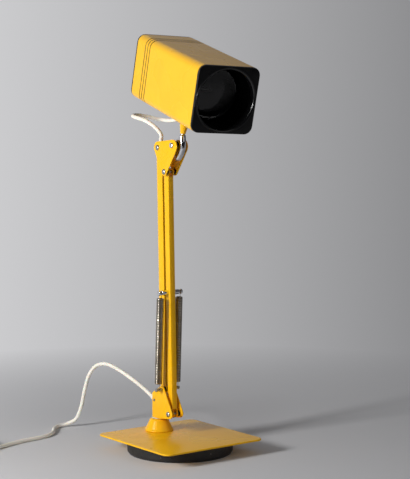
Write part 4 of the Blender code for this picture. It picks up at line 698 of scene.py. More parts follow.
class LAMP_OT_camera(bpy.types.Operator):
    """Stands the camera at the photograph's angle"""

    bl_idname = "lamp.camera"
    bl_label = "Camera"

    def execute(self, context):
        data = bpy.data.cameras.new("photo_view")
        data.sensor_width, data.lens = 36, 117.37
        camera = linked("photo_view", data)
        around, up, away, looked_at = radians(52.86), radians(5.344), 2.2668, Vector((0.0619, 0, 0.3239))
        back = Vector((sin(around) * cos(up), -cos(around) * cos(up), sin(up)))
        camera.location = looked_at + back * away
        camera.rotation_euler = (-back).to_track_quat("-Z", "Y").to_euler()
        context.scene.camera = camera
        return {"FINISHED"}


class LAMP_OT_cords(bpy.types.Operator):
    """Makes the mains cord with its coil, tie and plug, and the cord from the arm to the shade"""

    bl_idname = "lamp.cords"
    bl_label = "Cords"

    def execute(self, context):
        wound, tail, entry, heading, leaving = coil_run()
        start = BOOT_END + BOOT_BACK * SEAT_GAP
        route = [start, start + BOOT_BACK * CORD_WIDTH, *MAINS_ROUTE, MAINS_CROSSING,
                 entry - heading * (LEAD_IN + SEAT_GAP)]
        loose = smooth_run(route, 0.003)
        mains = self.cord_piece("mains_cord_loose", loose, None, "mains_cord")
        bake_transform(mains)
        whole = wound + tail
        coil = self.cord_piece("mains_cord_wound", whole, "base", "mains_cord_coil", 16)
        tie = refined_piece("cord_tie", 0.00015, moulded_black, "base")
        plug = make_plug(tail[-1] + leaving * SEAT_GAP, leaving)

        grommet = HEAD_FRAME @ Vector((-0.0250, 0, 0.0256))
        drop = HEAD_FRAME.to_3x3() @ Vector((0, 0, -CORD_RADIUS))
        arrive = REAR_FOOT + ARM_TURN @ Vector((-0.0053, 0, ARM_LENGTH + 0.0043))
        rise = ARM_TURN @ Vector((0, 0, CORD_WIDTH))
        run = smooth_run([grommet, grommet + drop, *HEAD_ROUTE, arrive + rise, arrive], 0.0015)
        far = min(range(len(run)), key=lambda index: run[index].x)
        out, home = run[:far + 1], run[far:]
        loop = self.cord_piece("head_cord_loop", out, None, "head_cord")
        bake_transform(loop)
        back = self.cord_piece("head_cord_home", home, None, "head_cord_return")
        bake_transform(back)
        for node in ("arm_lead", "bracket_lead", "holder_lead"):
            dress_node(node, ivory_pvc)
        return {"FINISHED"}

    @staticmethod
    def cord_piece(name, line, body, node, sides=20):
        return finish_piece(name, hose_mesh(line, CORD_RADIUS, sides), ivory_pvc, body, (node,))


def make_plug(at, heading):
    """A moulded two-pin plug: waisted body and pins in sleeves."""
    turn = Matrix.Translation(at) @ Matrix.Rotation(atan2(heading.y, heading.x), 4, "Z")
    # From the cord to the face: share of the length, of the widening, and of the cord end's thickness
    shares = [(0, 0, 0.92), (0.02, 0.0, 1.0), (0.12, 0.07, 1.05), (0.25, 0.25, 1.12), (0.37, 0.56, 1.25),
              (0.5, 0.875, 1.36), (0.62, 0.96, 1.4), (0.9, 1.0, 1.42), (0.975, 1.0, 1.41), (1.0, 0.96, 1.33)]
    rings, length, thin, widening = [], 0.036, 0.0048, 0.0102
    for along, widen, thick in shares:
        half, across = thin + widening * widen, thin * thick
        line = rounded_box_line(half, across, min(half, across) * 0.72, 6)
        rings.append([Vector((length * along, y, z)) for y, z in line])
    pieces = [finish_piece("plug_moulding", skinned(rings), ivory_pvc, "base", ("plug_body",), turn, 50)]
    pin = [(0, 0), (0.0020, 0), (0.0020, 0.0105), (0.0018, 0.0107), (0.0018, 0.0186), (0.0012, 0.0190), (0, 0.0190)]
    for label, side in SIDES.items():
        along = Matrix.Translation((length + SEAT_GAP, side * 0.0093, 0)) @ spin(90, "Y")
        pieces.append(finish_piece("plug_prong_" + label, turned(pin, 32), plain_brass, "base",
                                   ("plug_pin_" + label,), turn @ along))
    return pieces


class LAMP_OT_base(bpy.types.Operator):
    """Makes the felt pad, iron weight, enamelled plate and the cone that carries the mast"""

    bl_idname = "lamp.base"
    bl_label = "Base"

    def execute(self, context):
        pad = eased([(0, 0), (0.0773, 0), (0.0773, 0.0018), (0, 0.0018)], 0.0004)
        finish_piece("felt_foot", turned(pad, 128), pressed_felt, "base", ("felt_pad",))
        radius, low, high = 0.0793, 0.0021, 0.0200
        weight = eased([(0, low), (radius, low), (radius, high), (0, high)], 0.0022, 5)
        finish_piece("iron_weight", turned(weight, 160), painted_iron, "base", ("base_weight",))

        half, corner, low, high, edge = 0.090, 0.012, 0.0203, 0.0231, 0.0011
        levels = [(edge * (1 - sin(a)), low + edge * (1 - cos(a))) for a in quarter_turn(4)]
        levels += [(inset, low + high - height) for inset, height in reversed(levels)]
        rings = []
        for inset, height in levels:
            line = rounded_box_line(half - inset, half - inset, corner - inset, 14)
            rings.append([Vector((x, y, height)) for x, y in line])
        finish_piece("enamel_plate", skinned(rings), stoved_enamel, "base", ("base_plate",), sharp=50)

        base = PLATE_TOP + SEAT_GAP
        cone = [(0, 0), (0.0218, 0), (0.0218, 0.0016), (0.0203, 0.0034), (0.0142, 0.0168), (0.0126, CONE_HEIGHT),
                (0.0040, CONE_HEIGHT), (0.0040, 0.0120), (0, 0.0120)]
        cone = [(radius, base + height) for radius, height in cone]
        cone = eased(cone, [0, 0.0006, 0.0007, 0.0009, 0.0012, 0.0009, 0.0003, 0, 0], 4)
        finish_piece("mast_cone", turned(cone, 128), stoved_enamel, "base", ("mast_socket",),
                     Matrix.Translation(MAST_AT))
        dress_node("socket_bolt", zinc_plate)
        return {"FINISHED"}


def rivet_tree():
    """A snap rivet's two heads, one outside each cheek, at every point of a mesh."""
    tree, given = new_geometry_tree("rivets", Radius=0.0042, Height=0.0018, Grip=0.0109, Shank=0.0020)
    ball = add(tree, "GeometryNodeMeshUVSphere", {"Segments": 32, "Rings": 16, "Radius": 1.0}).outputs["Mesh"]
    size = combined(tree, X=given["Radius"], Y=given["Height"], Z=given["Radius"])
    dome = moved(tree, moved(tree, ball, Rotation=LYING), Scale=size)
    place = add(tree, "GeometryNodeInputPosition").outputs[0]
    parts = add(tree, "ShaderNodeSeparateXYZ", {"Vector": place}).outputs
    halves = []
    for way in (1.0, -1.0):
        # The half that would be inside the cheek is pressed flat
        outside = maths(tree, "MAXIMUM", maths(tree, "MULTIPLY", parts["Y"], way), 0.0)
        pressed = combined(tree, X=parts["X"], Y=maths(tree, "MULTIPLY", outside, way), Z=parts["Z"])
        half = add(tree, "GeometryNodeSetPosition", {"Geometry": dome, "Position": pressed}).outputs[0]
        halves.append(moved(tree, half, Translation=combined(tree, Y=maths(tree, "MULTIPLY", given["Grip"], way))))
    long = maths(tree, "MULTIPLY", given["Grip"], 2.0)
    shank = add(tree, "GeometryNodeMeshCylinder", {"Vertices": 24, "Radius": given["Shank"], "Depth": long})
    lying = moved(tree, shank.outputs["Mesh"], Rotation=LYING)
    end_tree(tree, copies(tree, (*halves, lying), given), given)
    return tree


def bush_tree():
    """A plain spacer either side of the arm, at every point of a mesh."""
    tree, given = new_geometry_tree("spacers", Radius=0.0042, Thickness=0.0039, Offset=0.00675)
    links = {"Vertices": 40, "Side Segments": 1, "Radius": given["Radius"], "Depth": given["Thickness"]}
    lying = moved(tree, add(tree, "GeometryNodeMeshCylinder", links).outputs["Mesh"], Rotation=LYING)
    both = [moved(tree, lying, Translation=combined(tree, Y=maths(tree, "MULTIPLY", given["Offset"], float(side))))
            for side in SIDES.values()]
    end_tree(tree, copies(tree, both, given), given)
    return tree


def riveted(name, pivots, nodes, body):
    """A piece of rivets at the pivots, closed over the cheeks."""
    values = {"Height": bpy.context.scene.lamp_sizes.rivet_dome, "Material": material_for(zinc_plate)}
    mesh = grown("rivets", points_mesh(pivots), rivet_tree(), values)
    return finish_piece(name, mesh, zinc_plate, body, nodes, sharp=50)


def spaced(name, pivots, nodes, body, **measures):
    """A piece of the spacers that keep an arm in the middle between its cheeks."""
    values = {"Material": material_for(moulded_black), **measures}
    mesh = grown("spacers", points_mesh(pivots), bush_tree(), values)
    return finish_piece(name, mesh, moulded_black, body, nodes)


def hook_pin(name, at, grip, shank, end, maker, body, node):
    """A pin across the lamp, of the radius shank inside the grip and end outside it, with a waist at
    each end for a spring's hook."""
    half = [(shank, 0), (shank, grip), (end, grip), (end, 0.0155), (PIN_WAIST, 0.0160), (PIN_WAIST, 0.0184),
            (end, 0.0189), (end, 0.0217), (0, 0.0217)]
    half = eased(half, [0, 0, 0.0003, 0.0003, 0.0004, 0.0004, 0.0003, 0.0006, 0])
    profile = [(radius, -height) for radius, height in reversed(half)] + half[1:]
    return finish_piece(name, turned(profile, 48), maker, body, (node,), Matrix.Translation(at) @ ACROSS)


class LAMP_OT_mast(bpy.types.Operator):
    """Makes the washer, the folded lower bracket, its rivets and spacers, and the cord's clamp and boot"""

    bl_idname = "lamp.mast"
    bl_label = "Mast and lower bracket"

    def execute(self, context):
        low = PLATE_TOP + SEAT_GAP + CONE_HEIGHT + SEAT_GAP
        ring = eased([(0.0038, low), (0.0110, low), (0.0110, low + 0.0019), (0.0038, low + 0.0019)], 0.0005, 3, True)
        finish_piece("nylon_washer", turned(ring, 96, True), pale_nylon, "mast", ("swivel_washer",),
                     Matrix.Translation(MAST_AT))
        refined_piece("lower_bracket", context.scene.lamp_sizes.enamel_edge, stoved_enamel, "mast")
        riveted("lower_rivet", [FRONT_FOOT], ("lower_front_rivet",), "mast")
        hook_pin("lower_spring_pin", REAR_FOOT, 0.0109, 0.0020, 0.0026, zinc_plate, "mast", "lower_rear_pin")
        nodes = [f"lower_{end}_bush_{side}" for end in ("front", "rear") for side in SIDES]
        spaced("lower_spacers", [FRONT_FOOT, REAR_FOOT], nodes, "mast")
        refined_piece("cord_clamp", 0.0003, moulded_black, "mast")
        for node in ("swivel_pin", "clamp_screw"):
            dress_node(node, zinc_plate)
        boot = [(0.0033, -0.0045), (0.0044, -0.0045), (0.0044, 0.0032), (0.0058, 0.0035), (0.0058, 0.0047),
                (0.0046, 0.0052), (0.0038, 0.0185), (0.0036, 0.0195), (0.0033, 0.0195)]
        place = Matrix.Translation(BOOT_MIDDLE) @ BOOT_TURN @ spin(-90, "Y")
        finish_piece("cord_boot", turned(eased(boot, 0.0004, 3, True), 64, True), ivory_pvc, "mast",
                     ("strain_relief",), place)
        return {"FINISHED"}


def wire_tree():
    """A round wire along a mesh line."""
    tree, given = new_geometry_tree("wire", Diameter=0.0012)
    radius = maths(tree, "MULTIPLY", given["Diameter"], 0.5)
    circle = add(tree, "GeometryNodeCurvePrimitiveCircle", {"Resolution": 8, "Radius": radius}).outputs["Curve"]
    line = add(tree, "GeometryNodeMeshToCurve", {"Mesh": given["Geometry"]}).outputs[0]
    wire = add(tree, "GeometryNodeCurveToMesh", {"Curve": line, "Profile Curve": circle, "Fill Caps": True})
    end_tree(tree, wire.outputs[0], given)
    return tree


def spring_line(turns, wire):
    """The wire's middle: a hook on the lower pin, close turns, and a hook on the cross-pin."""
    length, hook = SPRING_LINE.length, PIN_WAIST + wire / 2 + HOOK_CLEARANCE
    coil, stalk = SPRING_RADIUS - wire / 2, 0.0032
    low, high = 0.0092, length - 0.0078

    def hook_points(start, sweep, middle):
        angles = [radians(start + sweep * step / 24) for step in range(25)]
        return [Vector((hook * sin(angle), 0, middle + hook * cos(angle))) for angle in angles]

    lower, upper = hook_points(190, 260, 0), hook_points(110, -255, length)
    points = lower + [lower[-1].lerp(Vector((stalk, 0, low)), share) for share in (0.25, 0.5, 0.75)]
    around = 14
    for step in range(turns * around + 1):
        turn = step / around
        radius = stalk + (coil - stalk) * smooth_step(min(1, turn, turns - turn))
        angle, height = tau * turn, low + (high - low) * turn / turns
        points.append(Vector((radius * cos(angle), radius * sin(angle), height)))
    return points + [Vector((stalk, 0, high)).lerp(upper[0], share) for share in (0.25, 0.5, 0.75)] + upper


class LAMP_OT_arms(bpy.types.Operator):
    """Makes the two channel arms, the cross-pin and the balance springs"""

    bl_idname = "lamp.arms"
    bl_label = "Arms and springs"

    def execute(self, context):
        sizes = context.scene.lamp_sizes
        for arm in ("front_arm", "rear_arm"):
            refined_piece(arm, sizes.enamel_edge, stoved_enamel, arm, 3)
        hook_pin("cross_pin", CROSS_PIN_AT, 0.0048, 0.0022, 0.0038, chrome_plate, "front_arm", "spring_cross_pin")
        tree, line = wire_tree(), points_mesh(spring_line(sizes.spring_turns, sizes.spring_wire), True)
        values = {"Diameter": sizes.spring_wire, "Material": material_for(spring_wire)}
        for label, side in SIDES.items():
            mesh = grown("balance_spring", line, tree, values)
            nodes = (f"spring_{label}", f"spring_hook_{label}")
            place = Matrix.Translation(REAR_FOOT + Vector((0, SPRING_ASIDE * side, 0))) @ SPRING_TURN
            spring = finish_piece("balance_spring_" + label, mesh, spring_wire, None, nodes, place)
            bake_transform(spring)
        return {"FINISHED"}


class LAMP_OT_top_bracket(bpy.types.Operator):
    """Makes the top bracket's cheeks, its rivets and spacers, the tilt screw and nut, the knuckle and stem"""

    bl_idname = "lamp.top_bracket"
    bl_label = "Top bracket and knuckle"

    def execute(self, context):
        for side in SIDES:
            refined_piece("top_cheek_" + side, context.scene.lamp_sizes.enamel_edge, stoved_enamel, "top_bracket", 3)
        pivots = [FRONT_TOP, REAR_TOP]
        riveted("top_rivets", pivots, ("top_front_rivet", "top_rear_rivet"), "top_bracket")
        nodes = [f"top_{end}_bush_{side}" for end in ("front", "rear") for side in SIDES]
        spaced("top_spacers", pivots, nodes, "top_bracket")
        spaced("tilt_spacers", [TILT_AT], ("tilt_bush_left", "tilt_bush_right"), "top_bracket",
               Radius=0.0056, Thickness=0.00365, Offset=0.006875)
        screw = [(0, -0.0133), (0.0022, -0.0133), (0.0042, -0.0122), (0.0042, -0.0109), (0.0025, -0.0109),
                 (0.0025, 0.0168), (0, 0.0168)]
        screw = eased(screw, [0, 0.0008, 0.0010, 0.0004, 0, 0.0006, 0], 4)
        finish_piece("tilt_bolt", turned(screw, 64), chrome_plate, "top_bracket", ("tilt_screw",),
                     Matrix.Translation(TILT_AT) @ ACROSS)
        refined_piece("tilt_nut", 0.0004, chrome_plate, "top_bracket")
        self.make_knuckle()
        refined_piece("swivel_stem", 0.0002, zinc_plate, "knuckle")
        refined_piece("stem_nut", 0.0004, zinc_plate, "knuckle")
        return {"FINISHED"}

    @staticmethod
    def make_knuckle():
        """The cast knuckle: round-edged, hollow behind, on the tilt bolt below and the stem above."""
        # Circles (forward, up, radius) that the cast's outline runs round; low and high round its front off
        tail, low, bulge = (0.0065, -0.0168, 0.0052), (0.0098, -0.0085, 0.0062), (0.0112, 0.0, 0.0066)
        high, neck, pivot = (0.0104, 0.0080, 0.0058), (0.0093, 0.0156, 0.0044), (0.0, 0.0, 0.0060)
        wall, half, roof, floor, behind = 0.0013, 0.00475, 0.0080, -0.0240, -0.0070
        inside = half - wall
        body = wrapped([tail, low, bulge, high, neck, pivot], half, 0.0039)
        hollow = wrapped([tail, bulge, pivot], inside, 0.0024, wall)
        corners = ((behind, -inside), (tail[0], -inside), (tail[0], inside), (behind, inside))
        mouth = skinned([[Vector((x, y, z)) for x, y in corners] for z in (floor, roof)])
        bolt = turned([(0, -0.0060), (0.0028, -0.0060), (0.0028, 0.0060), (0, 0.0060)], 48)
        bolt.transform(ACROSS)
        bore = turned([(0, 0.0010), (0.0033, 0.0010), (0.0033, 0.0210), (0, 0.0210)], 48)
        pocket = turned([(0, 0.0), (0.0039, 0.0), (0.0039, roof - wall), (0, roof - wall)], 48)
        for cutter in (bore, pocket):
            cutter.transform(Matrix.Translation((neck[0], 0, 0)))
        mesh = carved(body, (hollow, mouth, bolt, bore, pocket))
        place = Matrix.Translation(TILT_AT) @ KNUCKLE_TURN
        finish_piece("swivel_knuckle", mesh, chrome_plate, "knuckle", ("tilt_knuckle",), place, sharp=35)


def shade_ring(x, inset):
    """The shade's rounded square at a distance along its axis, drawn in by inset."""
    line = rounded_box_line(SHELL_HALF_Y - inset, SHELL_HALF_Z - inset, SHELL_CORNER - inset, 14)
    return [Vector((x, y, SHELL_MIDDLE + z)) for y, z in line]


def square_reach(across, up, inset):
    """Distance from the shade's axis to its rounded square, along a direction."""
    half_y, half_z, corner = SHELL_HALF_Y - inset, SHELL_HALF_Z - inset, SHELL_CORNER - inset
    flat = min(half_y / max(abs(across), POINTS_KEPT_APART), half_z / max(abs(up), POINTS_KEPT_APART))
    inner_y, inner_z = half_y - corner, half_z - corner
    if flat * abs(across) <= inner_y or flat * abs(up) <= inner_z:
        return flat
    along = abs(across) * inner_y + abs(up) * inner_z
    return along + sqrt(along**2 - inner_y**2 - inner_z**2 + corner**2)


def mouth_ring(x, inset=0.0, radius=0.0):
    """A ring that is the rounded square drawn in by inset, or a circle where a radius is given."""
    points, steps = [], 192
    for step in range(steps):
        angle = tau * (step + 0.5) / steps
        across, up = cos(angle), sin(angle)
        reach = radius or square_reach(across, up, inset)
        points.append(Vector((x, reach * across, SHELL_MIDDLE + reach * up)))
    return points


def along_head(profile, steps=96, closed=False, below=0.0):
    """A piece turned about a line along the shade from (radius, distance along it) points."""
    mesh = turned(profile, steps, closed)
    mesh.transform(Matrix.Translation((0, 0, SHELL_MIDDLE - below)) @ spin(90, "Y"))
    return mesh


def head_piece(name, mesh, maker, stands_for=(), sharp=40, body="head"):
    """A piece modelled in the shade's own frame."""
    return finish_piece(name, mesh, maker, body, stands_for, HEAD_FRAME, sharp)


def second_finish(piece, maker, faces):
    """Gives another finish to the faces whose numbers are listed."""
    piece.data.materials.append(material_for(maker))
    for index in faces:
        piece.data.polygons[index].material_index = len(piece.data.materials) - 1


class LAMP_OT_shade(bpy.types.Operator):
    """Makes the grooved shade, its ferrule and grommet, the front bezel and the rear cover with its switch"""

    bl_idname = "lamp.shade"
    bl_label = "Shade"

    def execute(self, context):
        self.make_shell()
        self.make_bezel(MOUTH_RADIUS, context.scene.lamp_sizes.lip_width)

        cover = refined("rear_cover", SEAT_GAP)
        cover.transform(HEAD_FRAME.inverted())
        for vertex in cover.vertices:
            if vertex.co.x < SHELL_REAR - 0.0010:
                vertex.co.x -= 0.0012
        head_piece("cover_moulding", cover, moulded_black, ("rear_cover",))
        outside = SHELL_REAR - SEAT_GAP - 0.0016 - 0.0065
        button = [(0, outside), (0.0040, outside + 0.0001), (0.0060, outside + 0.0009), (0.0060, SHELL_REAR + SEAT_GAP),
                  (0.0078, SHELL_REAR + SEAT_GAP), (0.0078, SHELL_REAR + 0.0019), (0.0060, SHELL_REAR + 0.0019),
                  (0.0060, SHELL_REAR + 0.0079), (0, SHELL_REAR + 0.0079)]
        button = eased(button, [0, 0.0010, 0.0006, 0, 0.0003, 0.0003, 0, 0.0003, 0], 4)
        head_piece("push_button", along_head(button, 64, below=0.0250), moulded_black, ("switch_button",),
                   body="switch")

        cone = [(0.0033, 0), (0.0040, 0), (0.0067, 0.0150), (0.0085, 0.0298), (0.0033, 0.0298)]
        cone = eased(cone, [0.0002, 0.0003, 0.004, 0.0003, 0], 5, True)
        head_piece("ferrule_cone", turned(cone, 64, True), stoved_enamel, ("head_ferrule",))
        seal = [(0.0033, 0.0259), (0.0054, 0.0259), (0.0080, 0.0284), (0.0080, 0.0298), (0.0062, 0.0298),
                (0.0062, 0.0333), (0.0033, 0.0333)]
        seal = turned(eased(seal, 0.0005, 3, True), 64, True)
        seal.transform(Matrix.Translation((-0.0250, 0, 0)))
        head_piece("rubber_grommet", seal, moulded_black, ("cord_grommet",))
        return {"FINISHED"}

    def make_shell(self):
        """The pressed sheet box, open at both ends, with its rolled grooves."""
        wall, roll = 0.0010, 0.0003
        lines = [(SHELL_REAR, roll), (SHELL_REAR + roll, 0), (SHELL_REAR + 2 * roll, 0)]
        for index in range(GROOVES):
            middle = SHELL_REAR + GROOVE_START + GROOVE_PITCH * index
            # A plain ring on either side keeps the flats beyond the soft-shouldered valley flat
            lines.append((middle - 0.0018, 0))
            for step in range(-8, 9):
                lines.append((middle + GROOVE_HALF * step / 8, GROOVE_DEPTH * (1 - smooth_step(abs(step) / 8))))
            lines.append((middle + 0.0018, 0))
        lines += [(SHELL_FRONT - 2 * roll, 0), (SHELL_FRONT - roll, 0), (SHELL_FRONT, roll), (SHELL_FRONT, wall - roll),
                  (SHELL_FRONT - roll, wall), (SHELL_REAR + roll, wall), (SHELL_REAR, wall - roll)]
        mesh = skinned([shade_ring(x, inset) for x, inset in lines], True)
        inner = [face.index for face in mesh.polygons if self.faces_inside(face)]
        valleys = [face.index for face in mesh.polygons if self.lies_in_groove(face)]
        shade = head_piece("enamel_shade", mesh, stoved_enamel, ("head_shell",))
        second_finish(shade, matt_lining, inner)
        # The groove bottoms get a dark brown painted shade
        second_finish(shade, groove_painted_shade, valleys)

    def make_bezel(self, mouth, lip):
        """The front frame: round-edged outside, with a raised lip that rolls into its opening."""
        back, front = SHELL_FRONT + SEAT_GAP, SHELL_FRONT + 0.0043
        edge, bead, roll = 0.0013, 0.0010, 0.0042
        quarter = quarter_turn(4)[1:]
        rings = [mouth_ring(back), mouth_ring(front - edge)]
        rings += [mouth_ring(front - edge * (1 - sin(a)), edge * (1 - cos(a))) for a in quarter]
        rings.append(mouth_ring(front, radius=mouth + lip + bead))
        rings += [mouth_ring(front + bead * sin(a), radius=mouth + lip + bead * cos(a)) for a in quarter]
        # The lip rolls into the opening, where the tool was polished
        rings += [mouth_ring(front + bead - roll * (1 - cos(a)), radius=mouth + lip * (1 - sin(a)))
                  for a in quarter_turn(12)[1:]]
        rings.append(mouth_ring(back - 0.0085, radius=mouth + 0.0004))
        rings += [mouth_ring(back - 0.0093, radius=mouth + 0.0010), mouth_ring(back - 0.0093, edge)]
        rings.append(mouth_ring(back, edge))
        mesh = skinned(rings, True)
        polished = [face.index for face in mesh.polygons if self.in_lip(face, mouth + lip, front - 0.0033)]
        bezel = head_piece("bezel_moulding", mesh, moulded_black, ("front_bezel",), sharp=50)
        second_finish(bezel, polished_black, polished)

    @staticmethod
    def in_lip(face, reach, deepest):
        """Faces of the bezel's rolled lip, in front of its throat."""
        middle = face.center
        return middle.x > deepest and hypot(middle.y, middle.z - SHELL_MIDDLE) < reach

    @staticmethod
    def faces_inside(face):
        """Faces of the shade's inner wall look towards its axis."""
        towards = Vector((0, face.center.y, face.center.z - SHELL_MIDDLE))
        return face.normal.dot(towards) < -0.5 * towards.length

    @staticmethod
    def lies_in_groove(face):
        """The lowest third of each groove's width, outside the wall: the faces given the painted groove shade."""
        along = (face.center.x - SHELL_REAR - GROOVE_START) / GROOVE_PITCH
        near = abs(along - round(along)) * GROOVE_PITCH < 0.00100 and -0.5 < along < GROOVES - 0.5
        out = Vector((face.center.y, face.center.z - SHELL_MIDDLE))
        above = out.length - square_reach(*out.normalized(), 0.00098)
        return near and above > 0 and not LAMP_OT_shade.faces_inside(face)


class LAMP_OT_bulb(bpy.types.Operator):
    """Makes the reflector bulb with its filament, the cap, the porcelain holder and its bracket"""

    bl_idname = "lamp.bulb"
    bl_label = "Bulb and holder"

    def execute(self, context):
        face = SHELL_FRONT - BULB_SET_BACK
        outer = [(0.0399, -0.0046), (0.0400, -0.0060), (0.0396, -0.0100), (0.0378, -0.0150), (0.0340, -0.0205),
                 (0.0300, -0.0245), (0.0240, -0.0350), (0.0186, -0.0460), (0.0166, -0.0530), (0.0160, -0.0600),
                 (0.0133, -0.0780), (0.0132, -0.0880)]
        outer = [(radius, face + along) for radius, along in outer]
        inner = [(radius - 0.0009, along) for radius, along in reversed(outer)]
        bowl = eased(outer, 0.004)[:-1] + [outer[-1]] + [(0, face - 0.0880), (0, face - 0.0868)]
        bowl += eased(inner[1:], 0.004)
        # The bowl's near-black colour is painted shade and painted dark reflection
        head_piece("bulb_bowl", along_head(bowl, 96, True), bowl_painted_dark, ("bulb_glass",))
        dome = [(0.0398, -0.0045), (0.0391, -0.0022), (0.0374, -0.0002), (0.0350, 0.0010), (0.0290, 0.0022),
                (0.0200, 0.0032), (0.0100, 0.0038), (0, 0.0040)]
        dome = [(radius, face + along) for radius, along in dome]
        under = [(max(0, radius - 0.0008), along - 0.0009) for radius, along in reversed(dome)]
        head_piece("bulb_face", along_head(eased(dome, 0.002, 2) + under), lamp_glass)

        middle = face - 0.0270
        for label, side in SIDES.items():
            line = [(face - 0.0700, 0.0020), (face - 0.0500, 0.0026), (middle - 0.0040, 0.0060), (middle, 0.0070)]
            post = smooth_run([(along, side * aside, SHELL_MIDDLE) for along, aside in line], 0.002)
            head_piece("bulb_post_" + label, hose_mesh(post, 0.0004, 8), zinc_plate)
        coil, steps = [], 480
        for step in range(steps + 1):
            share = step / steps
            angle = tau * 30 * share
            coil.append(Vector((middle + 0.0007 * sin(angle) + 0.003 * sin(pi * share),
                                0.0070 - 0.0140 * share, SHELL_MIDDLE + 0.0007 * cos(angle))))
        head_piece("bulb_filament", hose_mesh(coil, 0.00018, 6), zinc_plate)
        stalk = [(0, -0.0780), (0.0048, -0.0780), (0.0030, -0.0600), (0.0026, -0.0480), (0, -0.0470)]
        head_piece("bulb_stalk", along_head([(radius, face + along) for radius, along in stalk], 32), lamp_glass)

        # The screw shell has a rounded thread 3.6 mm a turn, drawn as rings
        cap_front = face - 0.0883
        thread = [cap_front - 0.0010 - 0.0150 * step / 50 for step in range(1, 50)]
        cap = [(0, cap_front), (0.0130, cap_front)]
        cap += [(0.0127 + 0.0004 * cos(tau * (along - cap_front) / 0.0036), along) for along in thread]
        cap += [(0.0126, cap_front - 0.0165), (0.0124, cap_front - 0.0196), (0.0060, cap_front - 0.0225),
                (0.0044, cap_front - 0.0228), (0.0042, cap_front - 0.0240), (0, cap_front - 0.0240)]
        head_piece("screw_cap", along_head(cap, 64), plain_brass, ("bulb_cap",))
        floor, length = cap_front - 0.0243, 0.0440
        back = cap_front - 0.0240 + 0.0210 + 0.0028 - length
        front = back + length
        body = [(0, floor), (0.0135, floor), (0.0135, front), (0.0195, front), (0.0195, front - 0.0060),
                (0.0186, front - 0.0068), (0.0186, front - 0.0105), (0.0195, front - 0.0113),
                (0.0195, back + 0.0040), (0.0155, back), (0, back)]
        body = eased(body, [0, 0, 0.0008, 0.0014, 0.0005, 0.0005, 0.0005, 0.0005, 0.0020, 0.0020, 0], 4)
        head_piece("porcelain_holder", along_head(body), glazed_porcelain, ("lamp_holder",))
        refined_piece("holder_bracket", 0.0003, zinc_plate, "head")
        return {"FINISHED"}


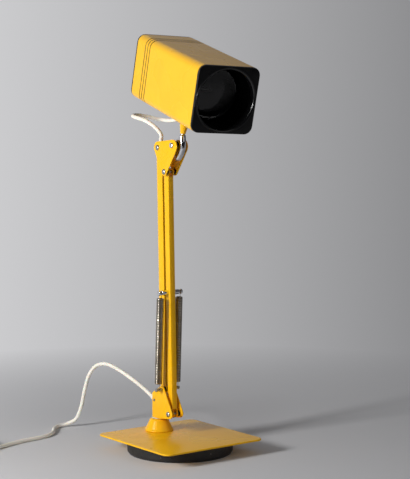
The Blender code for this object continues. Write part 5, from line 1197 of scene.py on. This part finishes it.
class LAMP_OT_stage(bpy.types.Operator):
    """Lays the pale floor and sets the studio lights"""

    bl_idname = "lamp.stage"
    bl_label = "Stage"

    def execute(self, context):
        scene = context.scene
        backdrop = scene.lamp_colours.backdrop
        bm = bmesh.new()
        bmesh.ops.create_circle(bm, cap_ends=True, radius=30.0, segments=96)
        floor = linked("floor", bpy.data.meshes.new("floor"))
        bm.to_mesh(floor.data)
        bm.free()
        floor.data.materials.append(self.paper(backdrop))

        world = scene.world = bpy.data.worlds.new("studio")
        world.use_nodes = True
        tree = world.node_tree
        tree.nodes.clear()
        towards = add(tree, "ShaderNodeTexCoord").outputs["Generated"]
        tone = self.sweep_tone(tree, towards, backdrop)
        # Metal and black plastic see the pale paper beyond the lamp, and the dim room on the near side
        beyond = vectors(tree, "DOT_PRODUCT", towards, PAPER_SIDE)
        room = blend_colours(tree, ramp(tree, beyond, 1.0, 0.0, -0.25, 0.35), tone, "#26262A")
        aside = vectors(tree, "DOT_PRODUCT", towards, AWAY_FROM_KEY)
        room = blend_colours(tree, ramp(tree, aside, 0.0, 1.0, 0.1, 0.6), room, "#4A4A4D")
        path = add(tree, "ShaderNodeLightPath").outputs
        shown = blend_colours(tree, path["Is Camera Ray"], room, tone)
        shown = add(tree, "ShaderNodeBackground", {"Color": shown, "Strength": 1.0}).outputs[0]
        # The ceiling is dimmer than the walls
        height = add(tree, "ShaderNodeSeparateXYZ", {"Vector": towards}).outputs["Z"]
        level = ramp(tree, height, 0.5, 0.3, 0.0, 1.0)
        fill = add(tree, "ShaderNodeBackground", {"Color": rgba(backdrop), "Strength": level}).outputs[0]
        seen = maths(tree, "MAXIMUM", path["Is Camera Ray"], path["Is Glossy Ray"])
        seen = maths(tree, "MAXIMUM", seen, path["Is Transmission Ray"])
        mix = add(tree, "ShaderNodeMixShader", {0: seen, 1: fill, 2: shown}).outputs[0]
        add(tree, "ShaderNodeOutputWorld", {"Surface": mix})

        power = scene.lamp_sizes.light_power
        # A low key square to the lamp's left side, a tall strip for the metal and a weak fill from the right
        self.soft_light("key", (0.0, -1.3, 0.6), (0, 0, 0.35), (0.28, 0.28), power)
        self.soft_light("strip", (0.12, -1.75, 0.75), (0, 0, 0.3), (0.10, 1.5), power * 0.3)
        self.soft_light("fill", (1.9, 0.6, 1.1), (0, 0, 0.3), (1.2, 1.2), power * 0.16)
        scene.view_settings.view_transform = "Standard"
        return {"FINISHED"}

    @staticmethod
    def sweep_tone(tree, towards, colour):
        """The paper's grey with painted light: paler towards the key light's side of the room, dimmer on the far side.
        """
        flat = vectors(tree, "NORMALIZE", vectors(tree, "MULTIPLY", towards, (1, 1, 0)))
        side = vectors(tree, "DOT_PRODUCT", flat, AWAY_FROM_KEY)
        pale = blend_colours(tree, ramp(tree, side, 0.0, 1.0, -0.16, 0.0), PAPER_PALE, colour)
        return blend_colours(tree, ramp(tree, side, 0.0, 1.0, 0.0, 0.16), pale, PAPER_DIM)

    def paper(self, colour):
        """Seamless background paper: a matt floor that fades into the studio's grey."""
        made, tree, shader = new_material("backdrop_paper", colour, 0.9, Specular_IOR_Level=0.2)
        where = add(tree, "ShaderNodeTexCoord").outputs["Object"]
        tone = self.sweep_tone(tree, vectors(tree, "SUBTRACT", where, PAPER_FRONT), colour)
        # What the lamp mirrors on the near side is the studio's dark floor
        along = vectors(tree, "DOT_PRODUCT", where, PAPER_SIDE)
        studio = blend_colours(tree, ramp(tree, along, 1.0, 0.0, -1.4, -0.6), tone, "#1C1C1F")
        seen = add(tree, "ShaderNodeLightPath").outputs["Is Camera Ray"]
        tone = blend_colours(tree, seen, studio, tone)
        lit = blend_colours(tree, ramp(tree, grain(tree, 0.6), 0.0, 1.0), PAPER_LIT, "#DADADC")
        join_node(tree, lit, shader, "Base Color")
        share = ramp(tree, vectors(tree, "LENGTH", where), 0.0, 1.0, 0.3, 1.0)
        glow = add(tree, "ShaderNodeEmission", {"Color": tone, "Strength": 1.0}).outputs[0]
        mix = add(tree, "ShaderNodeMixShader", {0: share, 1: shader.outputs[0], 2: glow}).outputs[0]
        tree.links.new(mix, tree.nodes["Material Output"].inputs[0])
        return made

    @staticmethod
    def soft_light(name, at, towards, size, power):
        data = bpy.data.lights.new(name, "AREA")
        data.shape, data.energy = "RECTANGLE", power
        data.size, data.size_y = size
        lamp = linked(name, data)
        lamp.location = at
        lamp.rotation_euler = (Vector(towards) - Vector(at)).to_track_quat("-Z", "Y").to_euler()


class LAMP_PT_panel(bpy.types.Panel):
    """Lists the lamp's groups of pieces, and the sizes and colours that can be changed"""

    bl_idname = "LAMP_PT_panel"
    bl_label = "Tabletop lamp"
    bl_space_type = "VIEW_3D"
    bl_region_type = "UI"
    bl_category = "Lamp"

    def draw(self, context):
        layout = self.layout
        for step in STEPS:
            layout.operator(step.bl_idname)
        for group in (context.scene.lamp_sizes, context.scene.lamp_colours):
            box = layout.box()
            for name in group.__annotations__:
                box.prop(group, name)


STEPS = (LAMP_OT_camera, LAMP_OT_cords, LAMP_OT_base, LAMP_OT_mast, LAMP_OT_arms, LAMP_OT_top_bracket,
         LAMP_OT_shade, LAMP_OT_bulb, LAMP_OT_stage)
CLASSES = (LampSizes, LampColours, *STEPS, LAMP_PT_panel)


def register():
    for kind in CLASSES:
        bpy.utils.register_class(kind)
    bpy.types.Scene.lamp_sizes = bpy.props.PointerProperty(type=LampSizes)
    bpy.types.Scene.lamp_colours = bpy.props.PointerProperty(type=LampColours)


def unregister():
    del bpy.types.Scene.lamp_colours
    del bpy.types.Scene.lamp_sizes
    for kind in reversed(CLASSES):
        bpy.utils.unregister_class(kind)


def main():
    register()
    for step in STEPS:
        group, name = step.bl_idname.split(".")
        getattr(getattr(bpy.ops, group), name)()


if __name__ == "__main__":
    main()
